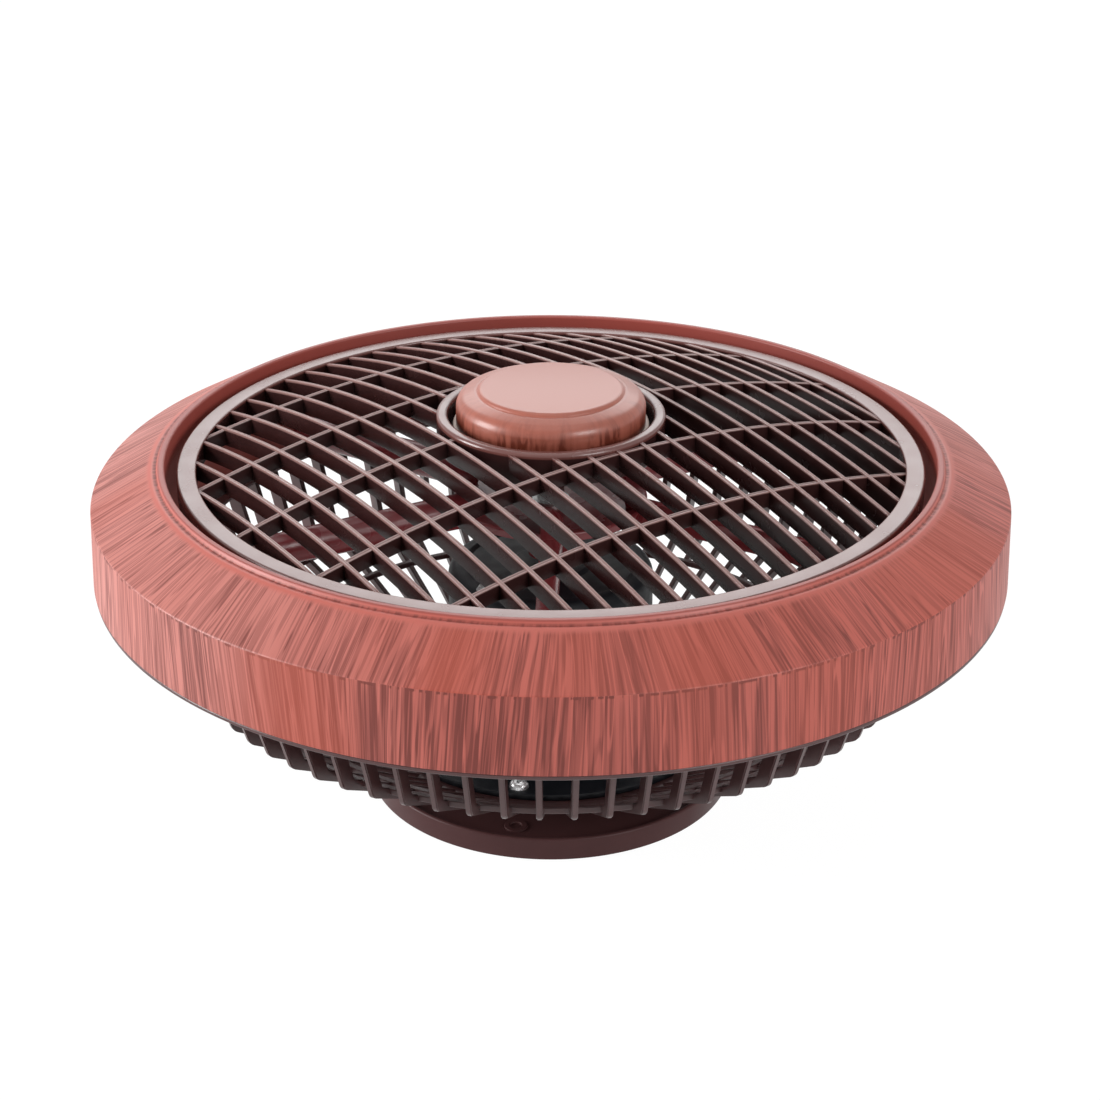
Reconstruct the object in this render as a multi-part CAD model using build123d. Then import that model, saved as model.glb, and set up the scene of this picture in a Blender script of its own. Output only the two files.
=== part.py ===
from build123d import *
import os
from math import sqrt

# Ceiling cabin fan with a revolving louvre grille. It stands on its ceiling plate, so +Z
# points from the ceiling to the grille and the fan's axis is the Z axis.
# Lengths are millimetres and angles are degrees.

# Fits shared by the pieces
RUN_GAP = 0.05          # radial clearance of a shaft in its bearing
FACE_GAP = 0.3          # end clearance between pieces that turn past each other
SEAT_GAP = 0.1          # radial clearance of a piece that slips into its seat
BOLT_GAP = 0.25         # radial clearance of a screw in its hole
THREAD_GAP = 0.05       # radial clearance of a self-tapping screw in its pilot hole
SHAFT_HOLE_GAP = 1.0    # radial clearance of the shaft in plain openings
HOLE_END_GAP = 1.0      # a blind hole is this much deeper than its screw

# Ceiling plate
BASE_R = 90.5
BASE_H = 11.3
BASE_WALL = 2.5
DECK_DROP = 3.3         # the deck lies this far below the rim
NECK_R = 58.0
NECK_TOP_Z = 26.0
NECK_WALL = 3.0
NECK_SEAT_R = 34.0      # inner edge of the neck's top flange
CEILING_HOLE_R = 2.75
CEILING_PCD = 150.0
CEILING_HOLES = 4
CEILING_TURN = -102.7
CEILING_BOSS_R = 5.6
CEILING_BOSS_H = 0.8

# Rear cage
CAGE_BARS = 72
CAGE_TURN = -1.55
BAR_T = 2.8
BAR_DEPTH = 11.0
FLOOR_DEPTH = 8.0
CORNER_LIFT = 4.6       # the inner corner lies this much above the floor's upper edge
CAGE_HUB_R = 90.0
CAGE_HUB_T = 3.0
CAGE_CORNER_R = 174.8
CAGE_CORNER_Z = 73.2
CAGE_CORNER_ROUND = 6.0
CAGE_TOP_R = 189.4
FLANGE_Z = 118.8
FLANGE_T = 2.0
FLANGE_INSET = 0.3      # the flange ends this far inside the foot of the trim ring's wall
FLANGE_BORE_R = 174.0
HOOP_RADII = (160.0, 138.0)
HOOP_W = 3.0
HOOP_H = 3.4
HOOP_LIFT = 3.0         # hoops lie this far above the bars' lower edge
HUB_WIRE_HOLE_R = 7.0
HUB_WIRE_R = 22.0       # the wire hole's distance from the axis

# Motor plate and its screws
MOTOR_PLATE_R = 85.0
MOTOR_PLATE_T = 3.0
PLATE_SCREW_PCD = 155.0
PLATE_SCREWS = 4
PLATE_SCREW_TURN = -101.0
PLATE_SCREW_R = 2.0
PLATE_HEAD_R = 4.8
PLATE_HEAD_H = 3.2
PLATE_NUT_R = 4.0
PLATE_NUT_H = 3.2
MOUNT_BOLT_PCD = 80.0
MOUNT_BOLTS = 3
MOUNT_BOLT_R = 2.5
MOUNT_HEAD_R = 4.6
MOUNT_HEAD_H = 3.5
MOUNT_BOLT_DEPTH = 9.0  # how far a bolt reaches into the motor
MOUNT_PILLAR_END = 3.0  # the pillar goes this far past its bolt

# Motor
MOTOR_R = 50.0
MOTOR_WALL = 3.0
MOTOR_TOP_Z = 114.0
MOTOR_BEVEL = 4.5
STACK_Z = 62.0
STACK_H = 20.0
STACK_BORE_R = 24.5
STACK_STEP = 1.6        # the shells' rims reach this far over the stack
AIR_GAP = 0.4
WINDING_R = 42.0
WINDING_BORE_R = 28.0
WINDING_H = 12.0
BEARING_R = 13.0
BEARING_H = 8.0
BEARING_BOSS_WALL = 3.0
MOTOR_BOLTS = 4
MOTOR_BOLT_TURN = 45.0
MOTOR_BOLT_PCD = 90.0
MOTOR_BOLT_R = 1.9
MOTOR_HEAD_R = 3.6
MOTOR_HEAD_H = 2.4
END_RING_INSET = 2.0    # the rotor's end rings lie this far inside its rim
END_RING_W = 6.0
END_RING_H = 4.0

# Shaft and what it carries
SHAFT_R = 5.0
SHAFT_BOTTOM_Z = 34.0
NOSE_R = 4.0            # thinner front end, from the impeller's nut to the tip
NOSE_Z = 150.0
SHAFT_TOP_Z = 187.0

# Impeller
BLADES = 6
BLADE_TURN = 208.0
BLADE_TIP_R = 150.0
BLADE_ROOT_R = 38.0
BLADE_Z = 151.0
ROOT_CHORD = 17.0
TIP_CHORD = 15.0
ROOT_PITCH = -66.0
TIP_PITCH = -74.0
BLADE_T = 2.0
BLADE_CAMBER = 5.5
IMP_HUB_R = 46.5
IMP_RIM_TOP_Z = 150.0
IMP_RIM_H = 4.5
IMP_WEB_R = 20.0
IMP_PIN_Z = 133.0
IMP_HUB_BOTTOM_Z = 119.0
IMP_HUB_TOP_Z = 147.0
IMP_HUB_WALL = 2.5
IMP_HUB_BEVEL = 1.0
IMP_BORE_WALL = 6.0
PIN_R = 1.5
PIN_L = 18.0
WASHER_R = 9.0
WASHER_T = 1.2
NUT_R = 6.5
NUT_H = 6.0

# Louvre grille
GRILLE_R = 177.4
GRILLE_INNER_R = 168.2
GRILLE_TOP_Z = 171.3
GRILLE_RIM_H = 11.0
GRILLE_RIM_WALL = 2.2
GRILLE_BEVEL = 0.8
SLAT_SINK = 0.5         # the slats meet the rim this far below its top
DOME_H = 22.9
SLAT_PITCH = 14.52
SLATS = 23
SLAT_T = 1.6
SLAT_DEPTH = 9.0
SLAT_TURN = 34.1
SLAT_RUNS = 8           # straight runs that make one curved slat
RIB_PITCH = 55.8
RIBS = 5
RIB_T = 1.8
RIB_SINK = 1.2          # the ribs' edges lie this far inside the slats' edges
HUB_RING_R = 54.4
HUB_OVERLAP = 0.5       # the slats run this far into the hub ring
HUB_RING_INNER_R = 49.0
HUB_RING_TOP_Z = 193.0
HUB_RING_H = 16.0
HUB_RING_BEVEL = 0.9
HUB_FLOOR_T = 3.0
HUB_BOSS_R = 15.0
GRILLE_BEARING_R = 11.0
GRILLE_BEARING_H = 7.0
BEARING_LEDGE = 1.5     # floor under the grille bearing
LEDGE_GAP = 2.0         # radial clearance of the nose in that floor
SLEEVE_WALL = 1.6
CLIP_R = 7.5
CLIP_T = 1.2

# Cap and its carrier
CAP_R = 45.0
CAP_BOTTOM_Z = 187.4
CAP_TOP_Z = 204.8
CAP_WALL = 2.2
CAP_SIDE_TOP_Z = 199.6
CAP_SHOULDER_Z = 201.2
CAP_SHOULDER_R = 42.6
CAP_BEVEL = 1.0
CAP_DISC_R = 34.5
CAP_DISC_BEVEL = 0.9
CAP_GROOVE_Z = 202.4
CAP_GROOVE_W = 1.2
CARRIER_R = 46.6
CARRIER_T = 2.4
CARRIER_WALL = 2.0
CARRIER_BORE_GAP = 3.0  # radial clearance round the shaft's clip
SPIGOT_H = 5.0          # how far the spigot reaches up into the cap
CARRIER_SCREWS = 3
CARRIER_SCREW_PCD = 64.0
CARRIER_SCREW_R = 1.5
CARRIER_HEAD_R = 2.8
CARRIER_HEAD_H = 1.8

# Trim ring
TRIM_R = 220.0
TRIM_DRAFT = 0.7        # the wall's foot is this much smaller in radius than its crease
TRIM_CREASE_Z = 158.0
CREASE_BEVEL = 1.2
CONE_RISE = 11.6        # height of the cone above the crease
BAND_W = 7.1            # ungrained band between the cone and the groove's bevel
GROOVE_W = 1.0
GROOVE_BEVEL_W = 1.6
GROOVE_BEVEL_H = 0.6
GROOVE_DEPTH = 1.9      # the groove's bottom lies this far below the lip's top
LIP_TOP_Z = 175.1
LIP_W = 2.9
LIP_GAP = 5.3           # gap between the grille and the lip
TRIM_WALL = 2.4
TRIM_SCREWS = 6
TRIM_SCREW_SHARE = 0.6  # the screws' place between the lip's and the wall's radius
TRIM_SCREW_TURN = 20.0
TRIM_BOSS_R = 4.5
TRIM_SCREW_R = 1.7
TRIM_SCREW_L = 12.0
TRIM_HEAD_R = 3.6
TRIM_HEAD_H = 2.2

# Electrical pieces in the neck
CAPACITOR_SIZE = (36.0, 22.0, 15.0)
CAPACITOR_CHAMFER = 2.0
CAPACITOR_TURN = -60.0
TERMINAL_SIZE = (30.0, 14.0, 12.0)
TERMINAL_TURN = 60.0
NECK_POCKET_R = 38.0    # capacitor and terminals lie this far from the axis
TERMINAL_WAYS = 3
TERMINAL_HOLE_SHARE = 0.32  # a way's radius as a share of its pitch
GROMMET_R = 9.5
GROMMET_BORE_R = 4.0
GROMMET_FLANGE_T = 2.0

# Places worked out from the sizes above
deck_z = BASE_H - DECK_DROP
hub_top_z = NECK_TOP_Z + CAGE_HUB_T
plate_top_z = hub_top_z + MOTOR_PLATE_T
flange_top_z = FLANGE_Z + FLANGE_T
trim_foot_r = TRIM_R - TRIM_DRAFT
flange_r = trim_foot_r - FLANGE_INSET
lip_r = GRILLE_R + LIP_GAP
lip_out_r = lip_r + LIP_W
groove_r = lip_out_r + GROOVE_W
groove_z = LIP_TOP_Z - GROOVE_DEPTH
cone_r = groove_r + GROOVE_BEVEL_W + BAND_W
cone_z = TRIM_CREASE_Z + CONE_RISE
trim_screw_at = lip_r + TRIM_SCREW_SHARE * (TRIM_R - lip_r)
floor_slope = (CAGE_CORNER_Z - NECK_TOP_Z) / (CAGE_CORNER_R - CAGE_HUB_R + CAGE_HUB_T)
side_slope = (CAGE_TOP_R - CAGE_CORNER_R) / (FLANGE_Z - CAGE_CORNER_Z)
stack_top_z = STACK_Z + STACK_H
dome_r = (GRILLE_INNER_R**2 + DOME_H**2) / (2 * DOME_H)
dome_centre_z = GRILLE_TOP_Z - SLAT_SINK + DOME_H - dome_r
hub_floor_z = HUB_RING_TOP_Z - HUB_RING_H
hub_floor_top_z = hub_floor_z + HUB_FLOOR_T
carrier_z = hub_floor_top_z
grille_bearing_z = hub_floor_top_z - GRILLE_BEARING_H
front_bearing_z = MOTOR_TOP_Z - MOTOR_WALL - BEARING_H
rear_bearing_z = plate_top_z + MOTOR_WALL


def turned(*outline):
    """Solid of revolution about Z from corners (radius, height) or (radius, height, bevel)."""
    points = []
    for i, corner in enumerate(outline):
        here = Vector(corner[0], corner[1])
        if len(corner) == 2:
            points.append(here)
            continue
        before = Vector(*outline[i - 1][:2])
        after = Vector(*outline[(i + 1) % len(outline)][:2])
        points.append(here + (before - here).normalized() * corner[2])
        points.append(here + (after - here).normalized() * corner[2])
    return revolve(Plane.XZ * make_face(Polyline(*points, close=True)), Axis.Z)


def post(radius, height, z=0.0, x=0.0, y=0.0):
    """Upright cylinder standing on height z."""
    return Pos(x, y, z) * Cylinder(radius, height, align=(Align.CENTER, Align.CENTER, Align.MIN))


def tube(outer, inner, height, z=0.0):
    """Upright tube standing on height z."""
    return post(outer, height, z) - post(inner, height, z)


def slab(x, y, height, z=0.0):
    """Upright block standing on height z."""
    return Pos(0, 0, z) * Box(x, y, height, align=(Align.CENTER, Align.CENTER, Align.MIN))


def around(piece, count, turn=0.0):
    """Copies of a piece spaced evenly about the axis."""
    return [Rot(0, 0, turn + 360.0 * i / count) * piece for i in range(count)]


def save(name, shape):
    """Write a sub-part, as one solid or as a group of separate solids."""
    solids = shape if isinstance(shape, list) else [shape]
    solids = [solid for item in solids for solid in item.solids()]
    piece = solids[0] if len(solids) == 1 else Compound(children=solids)
    export_step(piece, f"parts/{name}.step")


def screw(shank_r, length, head_r, head_h, tip_z, up=True):
    """Screw on the Z axis: its shank starts at tip_z and its head is above, or below if not up."""
    body = turned(
        (0.0, 0.0),
        (shank_r, 0.0),
        (shank_r, length),
        (head_r, length),
        (0.6 * head_r, length + head_h),
        (0.0, length + head_h),
    )
    if up:
        return Pos(0, 0, tip_z) * body
    return Pos(0, 0, tip_z) * Rot(180, 0, 0) * body


def floor_z(radius):
    """Height of the cage bars' lower edge at a radius."""
    return CAGE_CORNER_Z - floor_slope * (CAGE_CORNER_R - radius)


def ceiling_plate():
    """Dish that is screwed to the ceiling, with the neck that carries the fan."""
    deck_under = deck_z - BASE_WALL
    dish = turned(
        (NECK_R - NECK_WALL, deck_under),
        (BASE_R - BASE_WALL, deck_under),
        (BASE_R - BASE_WALL, 0.0),
        (BASE_R, 0.0),
        (BASE_R, BASE_H),
        (BASE_R - BASE_WALL, BASE_H),
        (BASE_R - BASE_WALL, deck_z),
        (NECK_R, deck_z),
        (NECK_R, NECK_TOP_Z),
        (NECK_SEAT_R, NECK_TOP_Z),
        (NECK_SEAT_R, NECK_TOP_Z - NECK_WALL),
        (NECK_R - NECK_WALL, NECK_TOP_Z - NECK_WALL),
    )
    x = CEILING_PCD / 2
    for boss in around(post(CEILING_BOSS_R, CEILING_BOSS_H, deck_z, x), CEILING_HOLES, CEILING_TURN):
        dish += boss
    drill = post(CEILING_HOLE_R, BASE_H, 0.0, x)
    for hole in around(drill, CEILING_HOLES, CEILING_TURN):
        dish -= hole
    drill = post(MOUNT_BOLT_R + BOLT_GAP, NECK_TOP_Z, 0.0, MOUNT_BOLT_PCD / 2)
    for hole in around(drill, MOUNT_BOLTS):
        dish -= hole
    return dish


def cage_bar():
    """One flat radial bar of the cage: side, rounded corner and sloping floor."""
    corner = CAGE_CORNER_ROUND
    inner_corner_r = CAGE_CORNER_R - BAR_DEPTH
    outline = [
        (CAGE_HUB_R - CAGE_HUB_T, NECK_TOP_Z),
        (CAGE_CORNER_R, CAGE_CORNER_Z),
        (CAGE_TOP_R + 0.5 * FLANGE_T * side_slope, FLANGE_Z + 0.5 * FLANGE_T),
        (CAGE_TOP_R - BAR_DEPTH, FLANGE_Z + 0.5 * FLANGE_T),
        (inner_corner_r, floor_z(inner_corner_r) + FLOOR_DEPTH + CORNER_LIFT),
        (CAGE_HUB_R - CAGE_HUB_T, NECK_TOP_Z + CAGE_HUB_T),
    ]
    edge = FilletPolyline(*outline, radius=[0.0, corner, 0.0, 0.0, 0.0, 0.0], close=True)
    return extrude(Plane.XZ * make_face(edge), amount=0.5 * BAR_T, both=True)


def hoop(radius):
    """Hoop through all the bars, straight from one bar to the next."""
    outer = RegularPolygon(radius + HOOP_W / 2, CAGE_BARS)
    ring = outer - RegularPolygon(radius - HOOP_W / 2, CAGE_BARS)
    return Pos(0, 0, floor_z(radius) + HOOP_LIFT) * extrude(ring, amount=HOOP_H)


def rear_cage():
    """Moulded cage: flange, hub disc, radial bars and the hoops that tie them."""
    cage = tube(flange_r, FLANGE_BORE_R, FLANGE_T, FLANGE_Z)
    hub = post(CAGE_HUB_R, CAGE_HUB_T, NECK_TOP_Z)
    hoops = [Rot(0, 0, CAGE_TURN) * hoop(radius) for radius in HOOP_RADII]
    cage = cage.fuse(hub, *around(cage_bar(), CAGE_BARS, CAGE_TURN), *hoops)
    for hole in around(post(MOUNT_BOLT_R + BOLT_GAP, FLANGE_Z, 0.0, MOUNT_BOLT_PCD / 2), MOUNT_BOLTS):
        cage -= hole
    drill = post(PLATE_SCREW_R + BOLT_GAP, FLANGE_Z, 0.0, PLATE_SCREW_PCD / 2)
    for hole in around(drill, PLATE_SCREWS, PLATE_SCREW_TURN):
        cage -= hole
    cage -= post(HUB_WIRE_HOLE_R, CAGE_HUB_T, NECK_TOP_Z, HUB_WIRE_R)
    drill = post(TRIM_SCREW_R + BOLT_GAP, FLANGE_T, FLANGE_Z, trim_screw_at)
    for hole in around(drill, TRIM_SCREWS, TRIM_SCREW_TURN):
        cage -= hole
    return cage


def motor_plate():
    """Black steel disc between the cage's hub and the motor."""
    plate = post(MOTOR_PLATE_R, MOTOR_PLATE_T, hub_top_z)
    plate -= post(HUB_WIRE_HOLE_R, MOTOR_PLATE_T, hub_top_z, HUB_WIRE_R)
    for hole in around(post(MOUNT_BOLT_R + BOLT_GAP, FLANGE_Z, 0.0, MOUNT_BOLT_PCD / 2), MOUNT_BOLTS):
        plate -= hole
    drill = post(PLATE_SCREW_R + BOLT_GAP, FLANGE_Z, 0.0, PLATE_SCREW_PCD / 2)
    for hole in around(drill, PLATE_SCREWS, PLATE_SCREW_TURN):
        plate -= hole
    return plate


def plate_screws():
    """Dome-head screws that clamp the motor plate to the cage, each with its nut."""
    tip_z = NECK_TOP_Z - PLATE_NUT_H
    body = screw(PLATE_SCREW_R, plate_top_z - tip_z, PLATE_HEAD_R, PLATE_HEAD_H, tip_z)
    nut = extrude(RegularPolygon(PLATE_NUT_R, 6), amount=PLATE_NUT_H)
    body += Pos(0, 0, tip_z) * nut
    return around(Pos(PLATE_SCREW_PCD / 2, 0, 0) * body, PLATE_SCREWS, PLATE_SCREW_TURN)


def mount_bolts():
    """Bolts through neck, cage and plate into the motor, heads inside the neck."""
    head_z = NECK_TOP_Z - NECK_WALL
    length = plate_top_z + MOUNT_BOLT_DEPTH - head_z
    body = screw(MOUNT_BOLT_R, length, MOUNT_HEAD_R, MOUNT_HEAD_H, head_z + length, up=False)
    return around(Pos(MOUNT_BOLT_PCD / 2, 0, 0) * body, MOUNT_BOLTS)


def motor_shell_rear():
    """Rear motor shell with its bearing seat, bolt bosses and rim over the stack."""
    floor = plate_top_z
    boss_r = BEARING_R + BEARING_BOSS_WALL
    bearing_top = rear_bearing_z + BEARING_H
    shell = turned(
        (SHAFT_R + SHAFT_HOLE_GAP, floor),
        (MOTOR_R, floor, MOTOR_BEVEL),
        (MOTOR_R, STACK_Z + STACK_STEP),
        (MOTOR_R - MOTOR_WALL / 2, STACK_Z + STACK_STEP),
        (MOTOR_R - MOTOR_WALL / 2, STACK_Z),
        (MOTOR_R - 2 * MOTOR_WALL, STACK_Z),
        (MOTOR_R - 2 * MOTOR_WALL, floor + MOTOR_WALL),
        (boss_r, floor + MOTOR_WALL),
        (boss_r, bearing_top),
        (BEARING_R + SEAT_GAP, bearing_top),
        (BEARING_R + SEAT_GAP, floor + MOTOR_WALL),
        (SHAFT_R + SHAFT_HOLE_GAP, floor + MOTOR_WALL),
    )
    drill = post(MOUNT_BOLT_R + BOLT_GAP, MOUNT_BOLT_DEPTH + HOLE_END_GAP, floor, MOUNT_BOLT_PCD / 2)
    pillar = post(MOUNT_HEAD_R, MOUNT_BOLT_DEPTH + MOUNT_PILLAR_END, floor, MOUNT_BOLT_PCD / 2)
    for boss in around(pillar, MOUNT_BOLTS):
        shell += boss
    for hole in around(drill, MOUNT_BOLTS):
        shell -= hole
    drill = post(MOTOR_BOLT_R + BOLT_GAP, MOTOR_TOP_Z, floor + 2 * MOTOR_WALL, MOTOR_BOLT_PCD / 2)
    for hole in around(drill, MOTOR_BOLTS, MOTOR_BOLT_TURN):
        shell -= hole
    return shell


def motor_shell_front():
    """Front motor shell: bearing seat and rim over the stack."""
    top = MOTOR_TOP_Z
    boss_r = BEARING_R + BEARING_BOSS_WALL
    shell = turned(
        (SHAFT_R + SHAFT_HOLE_GAP, top),
        (MOTOR_R, top, MOTOR_BEVEL),
        (MOTOR_R, stack_top_z - STACK_STEP),
        (MOTOR_R - MOTOR_WALL / 2, stack_top_z - STACK_STEP),
        (MOTOR_R - MOTOR_WALL / 2, stack_top_z),
        (MOTOR_R - 2 * MOTOR_WALL, stack_top_z),
        (MOTOR_R - 2 * MOTOR_WALL, top - MOTOR_WALL),
        (boss_r, top - MOTOR_WALL),
        (boss_r, front_bearing_z),
        (BEARING_R + SEAT_GAP, front_bearing_z),
        (BEARING_R + SEAT_GAP, top - MOTOR_WALL),
        (SHAFT_R + SHAFT_HOLE_GAP, top - MOTOR_WALL),
    )
    drill = post(MOTOR_BOLT_R + BOLT_GAP, top, STACK_Z, MOTOR_BOLT_PCD / 2)
    for hole in around(drill, MOTOR_BOLTS, MOTOR_BOLT_TURN):
        shell -= hole
    return shell


def stator_core():
    """Laminated ring between the two shells."""
    stack_r = MOTOR_R - MOTOR_WALL / 2 - SEAT_GAP
    stack = tube(stack_r, STACK_BORE_R, STACK_H, STACK_Z)
    drill = post(MOTOR_BOLT_R + BOLT_GAP, STACK_H, STACK_Z, MOTOR_BOLT_PCD / 2)
    for hole in around(drill, MOTOR_BOLTS, MOTOR_BOLT_TURN):
        stack -= hole
    return stack


def stator_winding():
    """Copper end turns above and below the stator core."""
    low_z = STACK_Z - WINDING_H
    return [tube(WINDING_R, WINDING_BORE_R, WINDING_H, z) for z in (low_z, stack_top_z)]


def motor_bolts():
    """Long bolts that pull the two shells together over the stack."""
    start = plate_top_z + 2 * MOTOR_WALL
    body = screw(MOTOR_BOLT_R, MOTOR_TOP_Z - start, MOTOR_HEAD_R, MOTOR_HEAD_H, start)
    return around(Pos(MOTOR_BOLT_PCD / 2, 0, 0) * body, MOTOR_BOLTS, MOTOR_BOLT_TURN)


def shaft_bearing(z):
    """Ball bearing in a motor shell, simplified to one ring."""
    return turned(
        (SHAFT_R + RUN_GAP, z),
        (BEARING_R, z),
        (BEARING_R, z + BEARING_H),
        (SHAFT_R + RUN_GAP, z + BEARING_H),
    )


def motor_shaft():
    """Stepped shaft from the rear bearing to the grille's bearing."""
    return turned(
        (0.0, SHAFT_BOTTOM_Z),
        (SHAFT_R, SHAFT_BOTTOM_Z),
        (SHAFT_R, NOSE_Z),
        (NOSE_R, NOSE_Z),
        (NOSE_R, SHAFT_TOP_Z),
        (0.0, SHAFT_TOP_Z),
    ) - Pos(0, 0, IMP_PIN_Z) * Rot(90, 0, 0) * Cylinder(PIN_R + SEAT_GAP, PIN_L)


def rotor_core():
    """Squirrel-cage rotor with end rings and its fan fins left plain."""
    core_r = STACK_BORE_R - AIR_GAP
    ring_r = core_r - END_RING_INSET
    core = tube(core_r, SHAFT_R, STACK_H, STACK_Z)
    for z in (STACK_Z - END_RING_H, stack_top_z):
        core += tube(ring_r, ring_r - END_RING_W, END_RING_H, z)
    return core


def blade_section(radius, chord, pitch, camber):
    """Cambered closed section of a blade, on a plane square to the blade at a radius."""
    half = chord / 2
    lower = ThreePointArc((-half, 0.0), (0.0, camber), (half, 0.0))
    upper = ThreePointArc((-half, BLADE_T), (0.0, camber + BLADE_T), (half, BLADE_T))
    left = Line((-half, 0.0), (-half, BLADE_T))
    right = Line((half, 0.0), (half, BLADE_T))
    section = make_face([lower, right, upper, left])
    plane = Plane(origin=(radius, 0, BLADE_Z), x_dir=(0, 1, 0), z_dir=(1, 0, 0))
    return plane * Rot(0, 0, pitch) * section


def blade():
    """One steep scooped blade that twists a little toward its rounded tip."""
    body = loft([
        blade_section(BLADE_ROOT_R, ROOT_CHORD, ROOT_PITCH, BLADE_CAMBER),
        blade_section(BLADE_TIP_R, TIP_CHORD, TIP_PITCH, BLADE_CAMBER),
    ])
    reach = post(BLADE_TIP_R, 2 * TIP_CHORD, BLADE_Z - TIP_CHORD)
    return body & reach


def impeller():
    """Dished hub on its central sleeve, with the moulded blades round its rim."""
    top = IMP_HUB_TOP_Z
    sleeve_r = SHAFT_R + IMP_BORE_WALL
    rim_r = IMP_HUB_R - IMP_HUB_WALL
    hub = turned(
        (SHAFT_R + SEAT_GAP, IMP_HUB_BOTTOM_Z),
        (sleeve_r, IMP_HUB_BOTTOM_Z),
        (sleeve_r, top - IMP_HUB_WALL),
        (IMP_WEB_R, top - IMP_HUB_WALL),
        (rim_r, IMP_RIM_TOP_Z - IMP_HUB_WALL),
        (rim_r, IMP_RIM_TOP_Z - IMP_RIM_H),
        (IMP_HUB_R, IMP_RIM_TOP_Z - IMP_RIM_H),
        (IMP_HUB_R, IMP_RIM_TOP_Z, IMP_HUB_BEVEL),
        (IMP_WEB_R, top),
        (SHAFT_R + SEAT_GAP, top),
    )
    body = hub.fuse(*around(blade(), BLADES, BLADE_TURN))
    return body - Pos(0, 0, IMP_PIN_Z) * Rot(90, 0, 0) * Cylinder(PIN_R + SEAT_GAP, PIN_L)


def impeller_pin():
    """Cross pin that drives the impeller."""
    return Pos(0, 0, IMP_PIN_Z) * Rot(90, 0, 0) * Cylinder(PIN_R, PIN_L)


def impeller_washer():
    """Washer between the impeller's hub and its nut."""
    return tube(WASHER_R, SHAFT_R + SEAT_GAP, WASHER_T, IMP_HUB_TOP_Z)


def impeller_nut():
    """Hexagon nut on the shaft above the impeller."""
    z = IMP_HUB_TOP_Z + WASHER_T
    nut = Pos(0, 0, z) * extrude(RegularPolygon(NUT_R, 6), amount=NUT_H)
    nut -= post(NOSE_R + SEAT_GAP, NUT_H, z)
    return nut - post(SHAFT_R + SEAT_GAP, NOSE_Z - z, z)


def dome_plate(offset, thickness, sink=0.0):
    """Upright plate that follows the dome in straight runs, standing at an offset from the axis."""
    reach = GRILLE_INNER_R + GRILLE_RIM_WALL / 2
    half = sqrt(reach**2 - offset**2)
    ends = [half * (2 * i / SLAT_RUNS - 1) for i in range(SLAT_RUNS + 1)]
    top = [(x, sqrt((dome_r - sink)**2 - offset**2 - x**2)) for x in ends]
    low = [(x, z - SLAT_DEPTH + 2 * sink) for x, z in reversed(top)]
    face = make_face(Polyline(*top, *low, close=True))
    plane = Plane(origin=(0, offset, dome_centre_z), x_dir=(1, 0, 0), z_dir=(0, -1, 0))
    return extrude(plane * face, amount=0.5 * thickness, both=True)


def louvre_grille():
    """Moulded grille: rim, parallel slats and cross ribs on a dome, and the hub cup."""
    wall = GRILLE_RIM_WALL
    low = GRILLE_TOP_Z - GRILLE_RIM_H
    rim = turned(
        (GRILLE_INNER_R, low),
        (GRILLE_INNER_R + wall, low),
        (GRILLE_INNER_R + wall, GRILLE_TOP_Z - wall),
        (GRILLE_R - wall, GRILLE_TOP_Z - wall),
        (GRILLE_R - wall, low),
        (GRILLE_R, low),
        (GRILLE_R, GRILLE_TOP_Z, GRILLE_BEVEL),
        (GRILLE_INNER_R, GRILLE_TOP_Z),
    )
    slat_at = [SLAT_PITCH * (i - (SLATS - 1) / 2) for i in range(SLATS)]
    rib_at = [RIB_PITCH * (i - (RIBS - 1) / 2) for i in range(RIBS)]
    slats = [Rot(0, 0, SLAT_TURN + 90) * dome_plate(at, SLAT_T) for at in slat_at]
    ribs = [Rot(0, 0, SLAT_TURN) * dome_plate(at, RIB_T, RIB_SINK) for at in rib_at]
    lattice = slats[0].fuse(*slats[1:], *ribs)
    lattice = lattice.cut(post(HUB_RING_R - HUB_OVERLAP, CAP_TOP_Z))
    hub = turned(
        (GRILLE_BEARING_R + SEAT_GAP, grille_bearing_z),
        (HUB_BOSS_R, grille_bearing_z),
        (HUB_BOSS_R, hub_floor_z),
        (HUB_RING_R, hub_floor_z),
        (HUB_RING_R, HUB_RING_TOP_Z, HUB_RING_BEVEL),
        (HUB_RING_INNER_R, HUB_RING_TOP_Z),
        (HUB_RING_INNER_R, hub_floor_top_z),
        (GRILLE_BEARING_R + SEAT_GAP, hub_floor_top_z),
    )
    hub += tube(HUB_BOSS_R, NOSE_R + LEDGE_GAP, BEARING_LEDGE, grille_bearing_z - BEARING_LEDGE)
    drill = post(CARRIER_SCREW_R, HUB_FLOOR_T, hub_floor_z, CARRIER_SCREW_PCD / 2)
    for hole in around(drill, CARRIER_SCREWS):
        hub -= hole
    return rim.fuse(lattice, hub)


def grille_bearing():
    """Ball bearing that lets the grille turn on the shaft's nose."""
    return turned(
        (NOSE_R + RUN_GAP, grille_bearing_z),
        (GRILLE_BEARING_R, grille_bearing_z),
        (GRILLE_BEARING_R, hub_floor_top_z),
        (NOSE_R + RUN_GAP, hub_floor_top_z),
    )


def spacer_sleeve():
    """Sleeve on the nose that holds the grille's bearing off the impeller's nut."""
    low = IMP_HUB_TOP_Z + WASHER_T + NUT_H
    return tube(NOSE_R + SLEEVE_WALL, NOSE_R + SEAT_GAP, grille_bearing_z - FACE_GAP - low, low)


def shaft_clip():
    """Clip on the nose that keeps the grille's bearing in place."""
    return tube(CLIP_R, NOSE_R, CLIP_T, hub_floor_top_z + FACE_GAP)


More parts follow.
